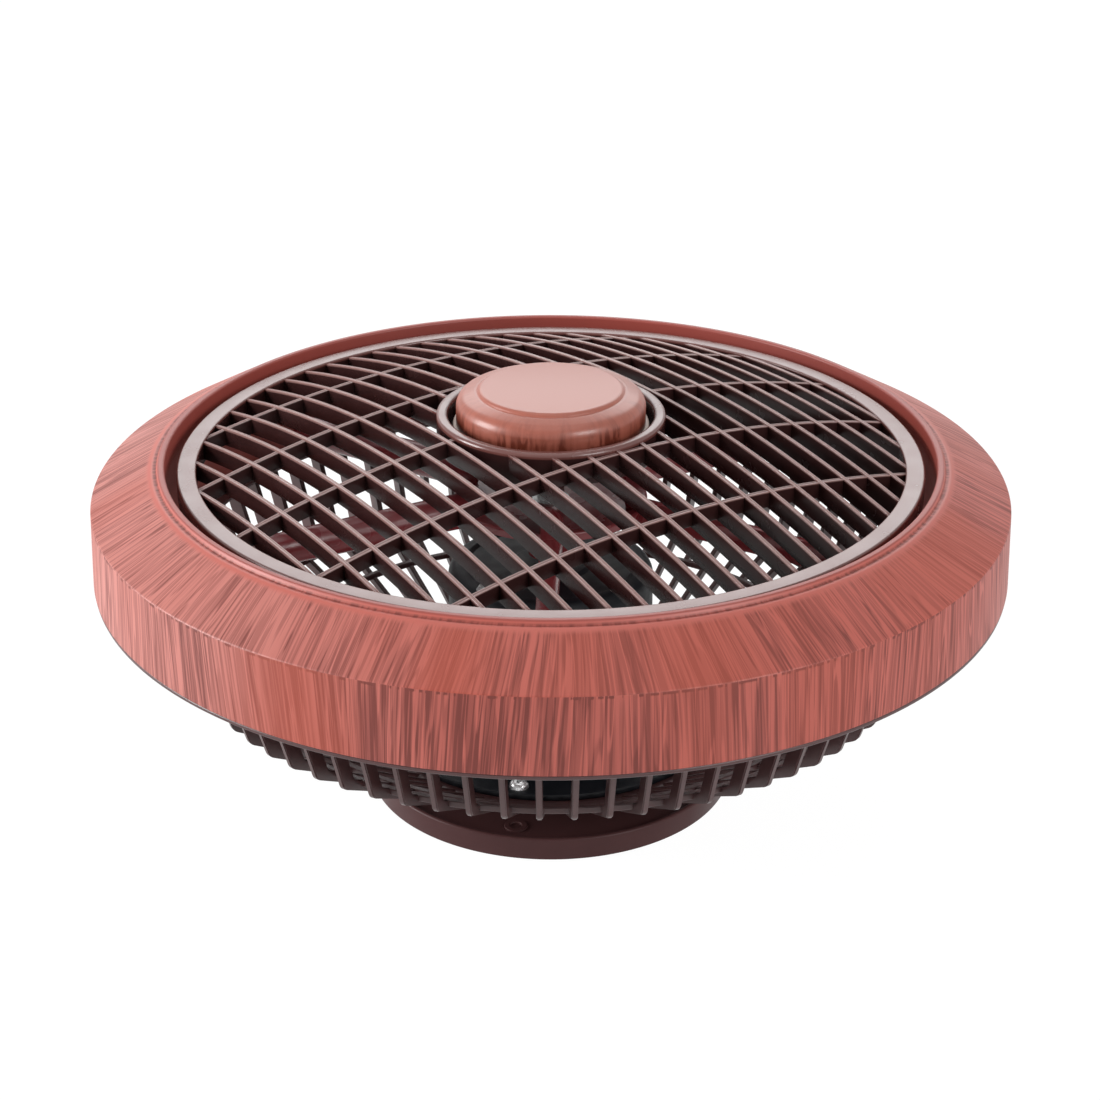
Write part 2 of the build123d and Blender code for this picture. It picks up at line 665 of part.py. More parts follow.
def cap_carrier():
    """Pale disc screwed into the hub cup; its spigot holds the cap."""
    spigot_r = CAP_R - CAP_WALL - SEAT_GAP
    flange_z = CAP_BOTTOM_Z - CARRIER_T
    disc = turned(
        (CLIP_R + CARRIER_BORE_GAP, carrier_z),
        (spigot_r, carrier_z),
        (CARRIER_R, flange_z),
        (CARRIER_R, CAP_BOTTOM_Z),
        (spigot_r, CAP_BOTTOM_Z),
        (spigot_r, CAP_BOTTOM_Z + SPIGOT_H),
        (spigot_r - CARRIER_WALL, CAP_BOTTOM_Z + SPIGOT_H),
        (spigot_r - CARRIER_WALL, carrier_z + CARRIER_T),
        (CLIP_R + CARRIER_BORE_GAP, carrier_z + CARRIER_T),
    )
    drill = post(CARRIER_SCREW_R + BOLT_GAP, CARRIER_T, carrier_z, CARRIER_SCREW_PCD / 2)
    for hole in around(drill, CARRIER_SCREWS):
        disc -= hole
    return disc


def carrier_screws():
    """Screws that fix the carrier to the floor of the hub cup."""
    top = carrier_z + CARRIER_T
    length = top - hub_floor_z
    body = screw(CARRIER_SCREW_R - THREAD_GAP, length, CARRIER_HEAD_R, CARRIER_HEAD_H, hub_floor_z)
    return around(Pos(CARRIER_SCREW_PCD / 2, 0, 0) * body, CARRIER_SCREWS)


def centre_cap():
    """Hollow cap: upright side, rounded shoulder, stepped groove and raised disc."""
    inner = CAP_R - CAP_WALL
    return turned(
        (CAP_R, CAP_BOTTOM_Z),
        (CAP_R, CAP_SIDE_TOP_Z, CAP_BEVEL),
        (CAP_SHOULDER_R, CAP_SHOULDER_Z),
        (CAP_DISC_R + CAP_GROOVE_W, CAP_GROOVE_Z),
        (CAP_DISC_R, CAP_GROOVE_Z),
        (CAP_DISC_R, CAP_TOP_Z, CAP_DISC_BEVEL),
        (0.0, CAP_TOP_Z),
        (0.0, CAP_TOP_Z - CAP_WALL),
        (CAP_DISC_R - CAP_WALL, CAP_TOP_Z - CAP_WALL),
        (CAP_DISC_R - CAP_WALL, CAP_GROOVE_Z - CAP_WALL),
        (inner, CAP_SHOULDER_Z - CAP_WALL),
        (inner, CAP_BOTTOM_Z),
    )


def trim_ring():
    """Wood-look ring: outer wall, cone, groove, lip and inner wall, hollow from below."""
    w = TRIM_WALL
    slope = CONE_RISE / (TRIM_R - cone_r)
    ring = turned(
        (trim_foot_r, flange_top_z),
        (TRIM_R, TRIM_CREASE_Z, CREASE_BEVEL),
        (cone_r, cone_z),
        (groove_r + GROOVE_BEVEL_W, groove_z + GROOVE_BEVEL_H),
        (groove_r, groove_z),
        (lip_out_r, LIP_TOP_Z),
        (lip_r, LIP_TOP_Z),
        (lip_r, flange_top_z),
        (lip_r + w, flange_top_z),
        (lip_r + w, groove_z - w),
        (cone_r - 0.5 * w, cone_z - w),
        (TRIM_R - w, TRIM_CREASE_Z + slope * w - w),
        (trim_foot_r - w, flange_top_z),
    )
    top = TRIM_CREASE_Z + slope * (TRIM_R - trim_screw_at - TRIM_BOSS_R) - 0.5 * w
    pillar = post(TRIM_BOSS_R, top - flange_top_z, flange_top_z, trim_screw_at)
    drill = post(TRIM_SCREW_R, TRIM_SCREW_L, flange_top_z, trim_screw_at)
    for boss in around(pillar, TRIM_SCREWS, TRIM_SCREW_TURN):
        ring += boss
    for hole in around(drill, TRIM_SCREWS, TRIM_SCREW_TURN):
        ring -= hole
    return ring


def trim_screws():
    """Screws from under the cage's flange into the trim ring."""
    length = FLANGE_T + TRIM_SCREW_L - HOLE_END_GAP
    shank_r = TRIM_SCREW_R - THREAD_GAP
    body = screw(shank_r, length, TRIM_HEAD_R, TRIM_HEAD_H, FLANGE_Z + length, up=False)
    return around(Pos(trim_screw_at, 0, 0) * body, TRIM_SCREWS, TRIM_SCREW_TURN)


def capacitor():
    """Run capacitor under the neck's top flange."""
    width, depth, height = CAPACITOR_SIZE
    block = slab(depth, width, height, NECK_TOP_Z - NECK_WALL - height)
    block = chamfer(block.edges().filter_by(Axis.Z), CAPACITOR_CHAMFER)
    return Rot(0, 0, CAPACITOR_TURN) * Pos(NECK_POCKET_R, 0, 0) * block


def terminal_block():
    """Screw terminals beside the capacitor."""
    width, depth, height = TERMINAL_SIZE
    block = slab(depth, width, height)
    pitch = width / TERMINAL_WAYS
    way = Cylinder(TERMINAL_HOLE_SHARE * pitch, height / 2)
    for i in range(TERMINAL_WAYS):
        block -= Pos(0, pitch * (i - (TERMINAL_WAYS - 1) / 2), 0) * way
    seat_z = NECK_TOP_Z - NECK_WALL - height
    return Rot(0, 0, TERMINAL_TURN) * Pos(NECK_POCKET_R, 0, seat_z) * block


def cable_grommet():
    """Rubber grommet in the wire hole of the cage's hub and the motor plate."""
    neck = HUB_WIRE_HOLE_R - SEAT_GAP
    low = NECK_TOP_Z - GROMMET_FLANGE_T
    body = turned(
        (GROMMET_BORE_R, low),
        (GROMMET_R, low),
        (GROMMET_R, NECK_TOP_Z),
        (neck, NECK_TOP_Z),
        (neck, plate_top_z),
        (GROMMET_BORE_R, plate_top_z),
    )
    return Pos(HUB_WIRE_R, 0, 0) * body


PIECES = {
    "ceiling_plate": ceiling_plate,
    "rear_cage": rear_cage,
    "motor_plate": motor_plate,
    "plate_screws": plate_screws,
    "mount_bolts": mount_bolts,
    "motor_shell_rear": motor_shell_rear,
    "motor_shell_front": motor_shell_front,
    "stator_core": stator_core,
    "stator_winding": stator_winding,
    "motor_bolts": motor_bolts,
    "motor_shaft": motor_shaft,
    "rotor_core": rotor_core,
    "impeller": impeller,
    "impeller_pin": impeller_pin,
    "impeller_washer": impeller_washer,
    "impeller_nut": impeller_nut,
    "louvre_grille": louvre_grille,
    "grille_bearing": grille_bearing,
    "spacer_sleeve": spacer_sleeve,
    "shaft_clip": shaft_clip,
    "cap_carrier": cap_carrier,
    "carrier_screws": carrier_screws,
    "centre_cap": centre_cap,
    "trim_ring": trim_ring,
    "trim_screws": trim_screws,
    "capacitor": capacitor,
    "terminal_block": terminal_block,
    "cable_grommet": cable_grommet,
}

os.makedirs("parts", exist_ok=True)
for name, make in PIECES.items():
    save(name, make())
save("front_bearing", shaft_bearing(front_bearing_z))
save("rear_bearing", shaft_bearing(rear_bearing_z))
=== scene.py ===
"""Dresses the packed cabin fan: moulded shells, louvre slats, cage bars, blades and finishes.

Lengths are metres, Z is the fan's axis and points from the ceiling plate to the grille.
"""

import math

import bmesh
import bpy
from bpy.props import FloatProperty, FloatVectorProperty, IntProperty, PointerProperty
from mathutils import Matrix, Vector


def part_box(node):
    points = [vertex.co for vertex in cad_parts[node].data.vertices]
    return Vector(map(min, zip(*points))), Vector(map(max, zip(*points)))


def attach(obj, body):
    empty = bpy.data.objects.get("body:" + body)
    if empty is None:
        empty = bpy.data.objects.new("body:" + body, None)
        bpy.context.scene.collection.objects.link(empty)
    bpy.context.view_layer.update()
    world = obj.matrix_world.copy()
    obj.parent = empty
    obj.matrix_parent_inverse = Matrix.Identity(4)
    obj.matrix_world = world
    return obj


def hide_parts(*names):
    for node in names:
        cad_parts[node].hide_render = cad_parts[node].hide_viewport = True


bl_info = {
    "name": "Cabin fan dresser",
    "version": (1, 0, 0),
    "blender": (4, 5, 0),
    "location": "View3D > Sidebar > Cabin fan",
    "description": "Builds the visible pieces and finishes of a ceiling cabin fan on its packed frame",
    "category": "Object",
}

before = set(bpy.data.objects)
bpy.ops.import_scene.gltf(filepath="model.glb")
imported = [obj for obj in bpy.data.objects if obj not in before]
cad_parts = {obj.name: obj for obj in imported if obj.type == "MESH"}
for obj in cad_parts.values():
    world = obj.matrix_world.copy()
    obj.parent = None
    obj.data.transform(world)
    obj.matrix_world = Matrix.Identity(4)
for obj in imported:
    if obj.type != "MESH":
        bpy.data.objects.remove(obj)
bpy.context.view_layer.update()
trim_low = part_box("trim_ring")[0]
grille_low, grille_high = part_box("louvre_grille")
cap_low, cap_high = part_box("centre_cap")
base_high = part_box("ceiling_plate")[1]
cage_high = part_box("rear_cage")[1]

LATHE_STEPS = 240

# Heights at which the stack on the ceiling plate meets
NECK_TOP = 0.026
CAGE_HUB_TOP = 0.029
MOTOR_SEAT = 0.032


# Sizes and colours that a user can change


def length_value(name, description, default):
    """A size in metres."""
    return FloatProperty(name=name, description=description, default=default, unit="LENGTH")


def angle_value(name, description, degrees):
    """An angle, its default given in degrees."""
    default = math.radians(degrees)
    return FloatProperty(name=name, description=description, default=default, subtype="ANGLE")


def count_value(name, description, default, least):
    """A whole number that isn't less than least."""
    return IntProperty(name=name, description=description, default=default, min=least)


def colour_value(name, description, default):
    """A colour in linear light."""
    return FloatVectorProperty(name=name, description=description, default=default, subtype="COLOR")


def power_value(name, description, default):
    """A lamp's power in watts."""
    return FloatProperty(name=name, description=description, default=default)


class FanTrimSizes(bpy.types.PropertyGroup):
    """Sizes of the wood-look trim ring."""

    foot_r: length_value("Foot radius", "Radius of the wall's lower edge", 0.2193)
    crease_r: length_value("Crease radius", "Radius where wall and cone meet", 0.2181)
    crease_z: length_value("Crease height", "Height where wall and cone meet", 0.1571)
    lip_r: length_value("Lip radius", "Radius of the inner wall", 0.1827)


class FanGrilleSizes(bpy.types.PropertyGroup):
    """Sizes of the louvre grille."""

    slats: count_value("Slats", "Number of parallel slats", 23, 3)
    slat_pitch: length_value("Slat pitch", "Distance between slats", 0.01452)
    slat_width: length_value("Slat thickness", "Thickness of a slat", 0.0020)
    rib_width: length_value("Rib thickness", "Thickness of a rib", 0.0027)
    slat_depth: length_value("Slat depth", "Height of a slat", 0.009)
    ribs: count_value("Ribs", "Number of ribs across the slats", 5, 1)
    rib_pitch: length_value("Rib pitch", "Distance between ribs", 0.0558)
    turn: angle_value("Turn", "Direction of the ribs about the axis", 34.1)
    dome_h: length_value("Dome height", "Rise of the slats' dome above its edge", 0.0229)
    inner_r: length_value("Inner radius", "Inner radius of the rim", 0.1682)
    hub_r: length_value("Hub ring radius", "Outer radius of the hub ring", 0.0544)


class FanCageSizes(bpy.types.PropertyGroup):
    """Sizes of the rear cage."""

    bars: count_value("Bars", "Number of radial bars", 72, 8)
    turn: angle_value("Turn", "Direction of the first bar", -1.55)
    bar_width: length_value("Bar thickness", "Thickness of a bar", 0.0028)
    bar_depth: length_value("Bar depth", "Depth of a bar's upright part", 0.0078)
    foot_depth: length_value("Foot depth", "Depth of a bar's sloping part at its corner", 0.0058)
    corner_round: length_value("Corner rounding", "Rounding of the bars' lower corner", 0.006)


class FanBladeSizes(bpy.types.PropertyGroup):
    """Sizes of the impeller."""

    blades: count_value("Blades", "Number of blades", 6, 2)
    turn: angle_value("Turn", "Direction of the first blade", 208.0)
    tip_r: length_value("Tip radius", "Radius of the blade tips", 0.15)
    root_chord: length_value("Root chord", "Width of a blade at the hub", 0.017)
    tip_chord: length_value("Tip chord", "Width of a blade at the tip", 0.015)
    root_pitch: angle_value("Root pitch", "Tilt of a blade at the hub", -66.0)
    tip_pitch: angle_value("Tip pitch", "Tilt of a blade at the tip", -74.0)


class FanFinishes(bpy.types.PropertyGroup):
    """Colours of the fan's finishes."""

    wood_light: colour_value("Wood, light", "Ground colour of the wood look", (0.51, 0.115, 0.086))
    wood_dark: colour_value("Wood, dark", "Colour of the wood look's streaks", (0.18, 0.031, 0.022))
    # Painted sheen: this paler ground on the left side stands in for the left lamp's broad reflection.
    wood_painted_sheen: colour_value("Wood, pale", "Colour of the wood look's faded side", (0.54, 0.195, 0.163))
    wood_warm: colour_value(
        "Wood, warm", "Colour of the wood look's orange patches", (0.44, 0.072, 0.038)
    )
    lip: colour_value("Lip", "Colour of the ungrained lip", (0.33, 0.063, 0.048))
    grille: colour_value("Grille", "Colour of the grille's plastic", (0.034, 0.0125, 0.0120))
    # Painted highlights: the grille's and the slats' edge colours stand in for the overhead lamp's reflection
    # on their top edges.
    grille_edge_highlight: colour_value(
        "Grille edges", "Colour of the grille's outer edges", (0.160, 0.056, 0.048)
    )
    slat_top_highlight: colour_value("Slat edges", "Colour of the slats' outer edges", (0.30, 0.165, 0.150))
    cage: colour_value("Cage", "Colour of the cage's plastic", (0.078, 0.033, 0.033))
    blades: colour_value("Blades", "Colour of the blades", (0.23, 0.035, 0.040))
    cap_light: colour_value("Cap, light", "Ground colour of the cap", (0.39, 0.108, 0.070))
    # The veins' colour also paints shade at the bottom of the cap's side.
    cap_veins_and_shade: colour_value("Cap, dark", "Colour of the cap's veins", (0.13, 0.023, 0.011))
    carrier: colour_value("Carrier", "Colour of the cap's carrier", (0.86, 0.73, 0.64))
    motor: colour_value("Motor", "Colour of the motor's paint", (0.006, 0.007, 0.010))


class FanStage(bpy.types.PropertyGroup):
    """Floor, lamps and camera."""

    lens: FloatProperty(name="Lens", description="Focal length for a 36 mm sensor", default=79.693)
    place: FloatVectorProperty(
        name="Camera place", description="Where the camera stands", default=(0.0, -1.07382, 0.62164),
        subtype="TRANSLATION",
    )
    tilt: FloatVectorProperty(
        name="Camera tilt", description="The camera's turns about X, Y and Z",
        default=(1.1336913, -0.0013314, 0.0009531), subtype="EULER",
    )
    rear_light: power_value("Rear lamp", "Power of the rear soft box", 20.5)
    top_light: power_value("Top lamp", "Power of the overhead soft box", 6.0)
    side_light: power_value("Side lamp", "Power of the left soft box", 50.0)
    front_light: power_value("Front lamp", "Power of the right front soft box", 28.0)


# Outlines and meshes


def rounded(corners, step=math.radians(9)):
    """Points of a closed outline whose corners are (r, z) or (r, z, rounding)."""
    points = []
    for i, corner in enumerate(corners):
        here = Vector(corner[:2])
        radius = corner[2] if len(corner) > 2 else 0.0
        if radius == 0.0:
            points.append(here)
            continue
        before = (Vector(corners[i - 1][:2]) - here).normalized()
        after = (Vector(corners[(i + 1) % len(corners)][:2]) - here).normalized()
        half = 0.5 * before.angle(after)
        centre = here + (before + after).normalized() * (radius / math.sin(half))
        start = here + before * (radius / math.tan(half)) - centre
        end = here + after * (radius / math.tan(half)) - centre
        sweep = math.atan2(start.x * end.y - start.y * end.x, start.dot(end))
        count = max(2, math.ceil(abs(sweep) / step))
        for k in range(count + 1):
            angle = sweep * k / count
            turned = Vector((
                start.x * math.cos(angle) - start.y * math.sin(angle),
                start.x * math.sin(angle) + start.y * math.cos(angle),
            ))
            points.append(centre + turned)
    return points


def mesh_from(name, verts, faces, sharp=math.radians(32)):
    """Closed mesh with its faces turned outwards."""
    mesh = bpy.data.meshes.new(name)
    mesh.from_pydata(verts, [], faces)
    work = bmesh.new()
    work.from_mesh(mesh)
    bmesh.ops.remove_doubles(work, verts=work.verts, dist=1e-7)
    bmesh.ops.recalc_face_normals(work, faces=work.faces)
    work.to_mesh(mesh)
    work.free()
    smooth(mesh, sharp)
    return mesh


def smooth(mesh, sharp=math.radians(32)):
    """Smooth shading with sharp edges kept."""
    mesh.shade_smooth()
    mesh.set_sharp_from_angle(angle=sharp)


def lathe(name, corners, steps=LATHE_STEPS):
    """Mesh of an outline turned about the Z axis."""
    ring = rounded(corners)
    verts, faces = [], []
    for point in ring:
        for s in range(steps):
            angle = 2 * math.pi * s / steps
            verts.append((point.x * math.cos(angle), point.x * math.sin(angle), point.y))
    count = len(ring)
    for i in range(count):
        j = (i + 1) % count
        if ring[i].x < 1e-7 and ring[j].x < 1e-7:
            continue
        for s in range(steps):
            t = (s + 1) % steps
            faces.append((i * steps + s, i * steps + t, j * steps + t, j * steps + s))
    return mesh_from(name, verts, faces)


def disc(bore_r, outer_r, low, high):
    """Outline of a flat disc with a bore and softened edges."""
    return [(bore_r, low), (outer_r, low, 0.0005), (outer_r, high, 0.0008), (bore_r, high)]


def plate(name, corners, width):
    """Mesh of an upright plate in the XZ plane with softened edges."""
    ring = rounded(corners, math.radians(20))
    count = len(ring)
    work = bmesh.new()
    sides = [[work.verts.new((p.x, y, p.y)) for p in ring] for y in (-width / 2, width / 2)]
    work.faces.new(sides[0])
    work.faces.new(list(reversed(sides[1])))
    for i in range(count):
        j = (i + 1) % count
        work.faces.new((sides[0][j], sides[0][i], sides[1][i], sides[1][j]))
    bmesh.ops.recalc_face_normals(work, faces=work.faces)
    rims = [e for e in work.edges if abs(e.verts[0].co.y - e.verts[1].co.y) < 1e-9]
    bmesh.ops.bevel(work, geom=rims, offset=0.18 * width, segments=2, affect="EDGES")
    mesh = bpy.data.meshes.new(name)
    work.to_mesh(mesh)
    work.free()
    smooth(mesh)
    return mesh


def dress(name, mesh, body, material, nodes=()):
    """Object for a finished mesh that rides on a body and stands for CAD nodes."""
    piece = bpy.data.objects.new(name, mesh)
    bpy.context.scene.collection.objects.link(piece)
    mesh.materials.clear()
    mesh.materials.append(material)
    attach(piece, body)
    if nodes:
        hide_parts(*nodes)


def dress_turned(name, corners, steps, body, material, nodes=()):
    """Object for an outline turned about the Z axis."""
    dress(name, lathe(name, corners, steps), body, material, nodes)


# Geometry node trees


class Nodes:
    """A node tree that is built node by node."""

    def feed(self, socket, value):
        """Link a socket, or set its value."""
        if isinstance(value, bpy.types.NodeSocket):
            self.tree.links.new(value, socket)
        else:
            socket.default_value = value

    def calc(self, operation, *values, clamp=False):
        """Output of a math node."""
        node = self.tree.nodes.new("ShaderNodeMath")
        node.operation = operation
        node.use_clamp = clamp
        for socket, value in zip(node.inputs, values):
            self.feed(socket, value)
        return node.outputs[0]

    def reach(self, first, second):
        """Length of the long side over two sides that are square to each other."""
        squares = [self.calc("MULTIPLY", side, side) for side in (first, second)]
        return self.calc("SQRT", self.calc("ADD", *squares))


class Tree(Nodes):
    """A geometry node tree with named inputs."""

    def __init__(self, name, **inputs):
        self.tree = bpy.data.node_groups.new(name, "GeometryNodeTree")
        face = self.tree.interface
        face.new_socket("Geometry", in_out="OUTPUT", socket_type="NodeSocketGeometry")
        face.new_socket("Geometry", in_out="INPUT", socket_type="NodeSocketGeometry")
        for label, kind in inputs.items():
            face.new_socket(label.replace("_", " "), in_out="INPUT", socket_type="NodeSocket" + kind)
        self.source = self.tree.nodes.new("NodeGroupInput")
        self.sink = self.tree.nodes.new("NodeGroupOutput")

    def given(self, label):
        """Output of the tree's input with this label."""
        return self.source.outputs[label.replace("_", " ")]

    def put(self, kind, options=None, **values):
        """Node of a kind, its properties set from options and its sockets from values."""
        node = self.tree.nodes.new(kind)
        for key, value in (options or {}).items():
            setattr(node, key, value)
        for key, value in values.items():
            self.feed(node.inputs[key.replace("_", " ")], value)
        return node

    def end(self, geometry):
        """Realize the instances, set the material and finish the tree."""
        real = self.put("GeometryNodeRealizeInstances", Geometry=geometry)
        painted = self.put(
            "GeometryNodeSetMaterial", Geometry=real.outputs[0], Material=self.given("Material")
        )
        self.tree.links.new(painted.outputs[0], self.sink.inputs[0])
        return self.tree


def ring_tree():
    """Tree that repeats a mesh about the Z axis."""
    t = Tree("Repeat about the axis", Count="Int", Turn="Float", Material="Material")
    points = t.put("GeometryNodePoints", Count=t.given("Count"))
    index = t.put("GeometryNodeInputIndex").outputs[0]
    step = t.calc("DIVIDE", 2 * math.pi, t.given("Count"))
    angle = t.calc("ADD", t.calc("MULTIPLY", index, step), t.given("Turn"))
    turn = t.put("ShaderNodeCombineXYZ", Z=angle)
    copies = t.put(
        "GeometryNodeInstanceOnPoints", Points=points.outputs[0], Instance=t.given("Geometry"),
        Rotation=turn.outputs[0],
    )
    return t.end(copies.outputs[0])


def louvre_tree():
    """Tree that sweeps its input's outline along parallel lines over a dome with a hole in it."""
    t = Tree(
        "Slats over a dome", Count="Int", Pitch="Float", Reach="Float", Dome_radius="Float",
        Dome_centre="Float", Hole="Float", Turn="Float", Samples="Int", Material="Material",
    )
    half_rows = t.calc("MULTIPLY", t.calc("SUBTRACT", t.given("Count"), 1.0), 0.5)
    first_y = t.calc("MULTIPLY", half_rows, t.calc("MULTIPLY", t.given("Pitch"), -1.0))
    rows = t.put(
        "GeometryNodeMeshLine", Count=t.given("Count"),
        Start_Location=t.put("ShaderNodeCombineXYZ", Y=first_y).outputs[0],
        Offset=t.put("ShaderNodeCombineXYZ", Y=t.given("Pitch")).outputs[0],
    )
    run = t.calc("DIVIDE", 2.0, t.calc("SUBTRACT", t.given("Samples"), 1.0))
    row = t.put(
        "GeometryNodeMeshLine", Count=t.given("Samples"), Start_Location=(-1.0, 0.0, 0.0),
        Offset=t.put("ShaderNodeCombineXYZ", X=run).outputs[0],
    )
    spread = t.put("GeometryNodeInstanceOnPoints", Points=rows.outputs[0], Instance=row.outputs[0])
    lines = t.put("GeometryNodeRealizeInstances", Geometry=spread.outputs[0])
    place = t.put("ShaderNodeSeparateXYZ", Vector=t.put("GeometryNodeInputPosition").outputs[0])
    y_square = t.calc("MULTIPLY", place.outputs[1], place.outputs[1])
    reach_square = t.calc("MULTIPLY", t.given("Reach"), t.given("Reach"))
    x = t.calc("MULTIPLY", place.outputs[0], t.calc("SQRT", t.calc("SUBTRACT", reach_square, y_square)))
    flat_square = t.calc("ADD", t.calc("MULTIPLY", x, x), y_square)
    dome_square = t.calc("MULTIPLY", t.given("Dome radius"), t.given("Dome radius"))
    rise = t.calc("SQRT", t.calc("SUBTRACT", dome_square, flat_square))
    z = t.calc("ADD", rise, t.given("Dome centre"))
    laid = t.put(
        "GeometryNodeSetPosition", Geometry=lines.outputs[0],
        Position=t.put("ShaderNodeCombineXYZ", X=x, Y=place.outputs[1], Z=z).outputs[0],
    )
    away = t.put("ShaderNodeSeparateXYZ", Vector=t.put("GeometryNodeInputPosition").outputs[0])
    radius = t.reach(away.outputs[0], away.outputs[1])
    holed = t.put(
        "GeometryNodeDeleteGeometry", {"domain": "POINT"}, Geometry=laid.outputs[0],
        Selection=t.calc("LESS_THAN", radius, t.given("Hole")),
    )
    curves = t.put("GeometryNodeMeshToCurve", Mesh=holed.outputs[0])
    upright = t.put("GeometryNodeSetCurveNormal", {"mode": "Z_UP"}, Curve=curves.outputs[0])
    section = t.put("GeometryNodeMeshToCurve", Mesh=t.given("Geometry"))
    slats = t.put(
        "GeometryNodeCurveToMesh", Curve=upright.outputs[0], Profile_Curve=section.outputs[0],
        Fill_Caps=True,
    )
    turned = t.put(
        "GeometryNodeTransform", Geometry=slats.outputs[0],
        Rotation=t.put("ShaderNodeCombineXYZ", Z=t.given("Turn")).outputs[0],
    )
    return t.end(turned.outputs[0])


def slat_section(width, depth, sink=0.0):
    """Closed outline of a slat: softened edges and a shallow groove along its top."""
    half, low = width / 2, -depth + sink
    groove_w, groove_d = 0.22 * width, 0.16 * width
    corners = [
        (-groove_w, -sink, 0.25 * groove_w), (0.0, -sink - groove_d, 0.6 * groove_w),
        (groove_w, -sink, 0.25 * groove_w), (half, -sink, 0.16 * width), (0.82 * half, low, 0.1 * width),
        (-0.82 * half, low, 0.1 * width), (-half, -sink, 0.16 * width),
    ]
    points = rounded(corners, math.radians(30))
    count = len(points)
    mesh = bpy.data.meshes.new("slat_section")
    edges = [(i, (i + 1) % count) for i in range(count)]
    mesh.from_pydata([(-p.x, -p.y, 0.0) for p in points], edges, [])
    return mesh


def grown(name, mesh, tree, **values):
    """Plain mesh that a geometry node tree makes from a mesh."""
    seed = bpy.data.objects.new(name, mesh)
    bpy.context.scene.collection.objects.link(seed)
    modifier = seed.modifiers.new("Build", "NODES")
    modifier.node_group = tree
    for item in tree.interface.items_tree:
        key = item.name.replace(" ", "_")
        if item.item_type == "SOCKET" and item.in_out == "INPUT" and key in values:
            modifier[item.identifier] = values[key]
    bpy.context.view_layer.update()
    graph = bpy.context.evaluated_depsgraph_get()
    made = bpy.data.meshes.new_from_object(seed.evaluated_get(graph))
    seed.modifiers.remove(modifier)
    bpy.data.objects.remove(seed)
    made.name = name
    if not made.polygons:
        raise RuntimeError(f"{name}: the node tree made nothing")
    smooth(made)
    return made


def around(name, mesh, count, turn, material):
    """Mesh repeated about the axis."""
    return grown(name, mesh, ring_tree(), Count=count, Turn=turn, Material=material)


# Finishes


class Recipe(Nodes):
    """A procedural material."""

    def __init__(self, name, colour, roughness, metallic=0.0, coat=0.0, coat_roughness=0.1):
        self.material = bpy.data.materials.new(name)
        self.material.use_nodes = True
        self.tree = self.material.node_tree
        self.shader = self.tree.nodes["Principled BSDF"]
        self.shader.inputs["Base Color"].default_value = (*colour, 1.0)
        self.shader.inputs["Roughness"].default_value = roughness
        self.shader.inputs["Metallic"].default_value = metallic
        self.shader.inputs["Coat Weight"].default_value = coat
        self.shader.inputs["Coat Roughness"].default_value = coat_roughness
        self.place = self.tree.nodes.new("ShaderNodeTexCoord").outputs["Object"]

    def polar(self, across, along, shift=0.0):
        """Vector whose features run straight up a turned surface, and its radius and height."""
        split = self.tree.nodes.new("ShaderNodeSeparateXYZ")
        self.feed(split.inputs[0], self.place)
        x, y, z = split.outputs
        radius = self.reach(x, y)
        scale = self.calc("DIVIDE", across, radius)
        run = self.calc("ADD", self.calc("MULTIPLY", self.calc("SUBTRACT", z, radius), along), shift)
        join = self.tree.nodes.new("ShaderNodeCombineXYZ")
        self.feed(join.inputs[0], self.calc("MULTIPLY", x, scale))
        self.feed(join.inputs[1], self.calc("MULTIPLY", y, scale))
        self.feed(join.inputs[2], run)
        return join.outputs[0], radius, z

    def noise(self, vector, scale, detail=2.0, rough=0.5, distortion=0.0):
        """Value of a noise texture."""
        node = self.tree.nodes.new("ShaderNodeTexNoise")
        self.feed(node.inputs["Vector"], vector)
        node.inputs["Scale"].default_value = scale
        node.inputs["Detail"].default_value = detail
        node.inputs["Roughness"].default_value = rough
        node.inputs["Distortion"].default_value = distortion
        return node.outputs["Fac"]

    def ramp(self, value, low, high, start=0.0, end=1.0):
        """Value mapped from low..high to start..end, smooth and clamped."""
        node = self.tree.nodes.new("ShaderNodeMapRange")
        node.interpolation_type = "SMOOTHSTEP"
        for key, number in zip(("From Min", "From Max", "To Min", "To Max"), (low, high, start, end)):
            node.inputs[key].default_value = number
        self.feed(node.inputs["Value"], value)
        return node.outputs[0]

    def ridge(self, value, width):
        """One where a noise crosses its middle, falling to nothing within a width."""
        away = self.calc("ABSOLUTE", self.calc("SUBTRACT", value, 0.5))
        return self.ramp(away, 0.2 * width, width, 1.0, 0.0)

    def blend(self, share, first, second):
        """Colour mixed from two colours."""
        node = self.tree.nodes.new("ShaderNodeMix")
        node.data_type = "RGBA"
        self.feed(node.inputs[0], share)
        for socket, colour in ((node.inputs[6], first), (node.inputs[7], second)):
            self.feed(socket, colour if isinstance(colour, bpy.types.NodeSocket) else (*colour, 1.0))
        return node.outputs[2]

    def bump(self, height, distance, strength=0.5):
        """Surface relief from a height."""
        node = self.tree.nodes.new("ShaderNodeBump")
        node.inputs["Strength"].default_value = strength
        node.inputs["Distance"].default_value = distance
        self.feed(node.inputs["Height"], height)
        self.feed(self.shader.inputs["Normal"], node.outputs[0])

    def colour(self, value):
        """Link the base colour."""
        self.feed(self.shader.inputs["Base Color"], value)

    def roughness(self, value):
        """Link the roughness."""
        self.feed(self.shader.inputs["Roughness"], value)


def tinted(colour, factor):
    """Colour made lighter or darker."""
    return tuple(min(1.0, channel * factor) for channel in colour)


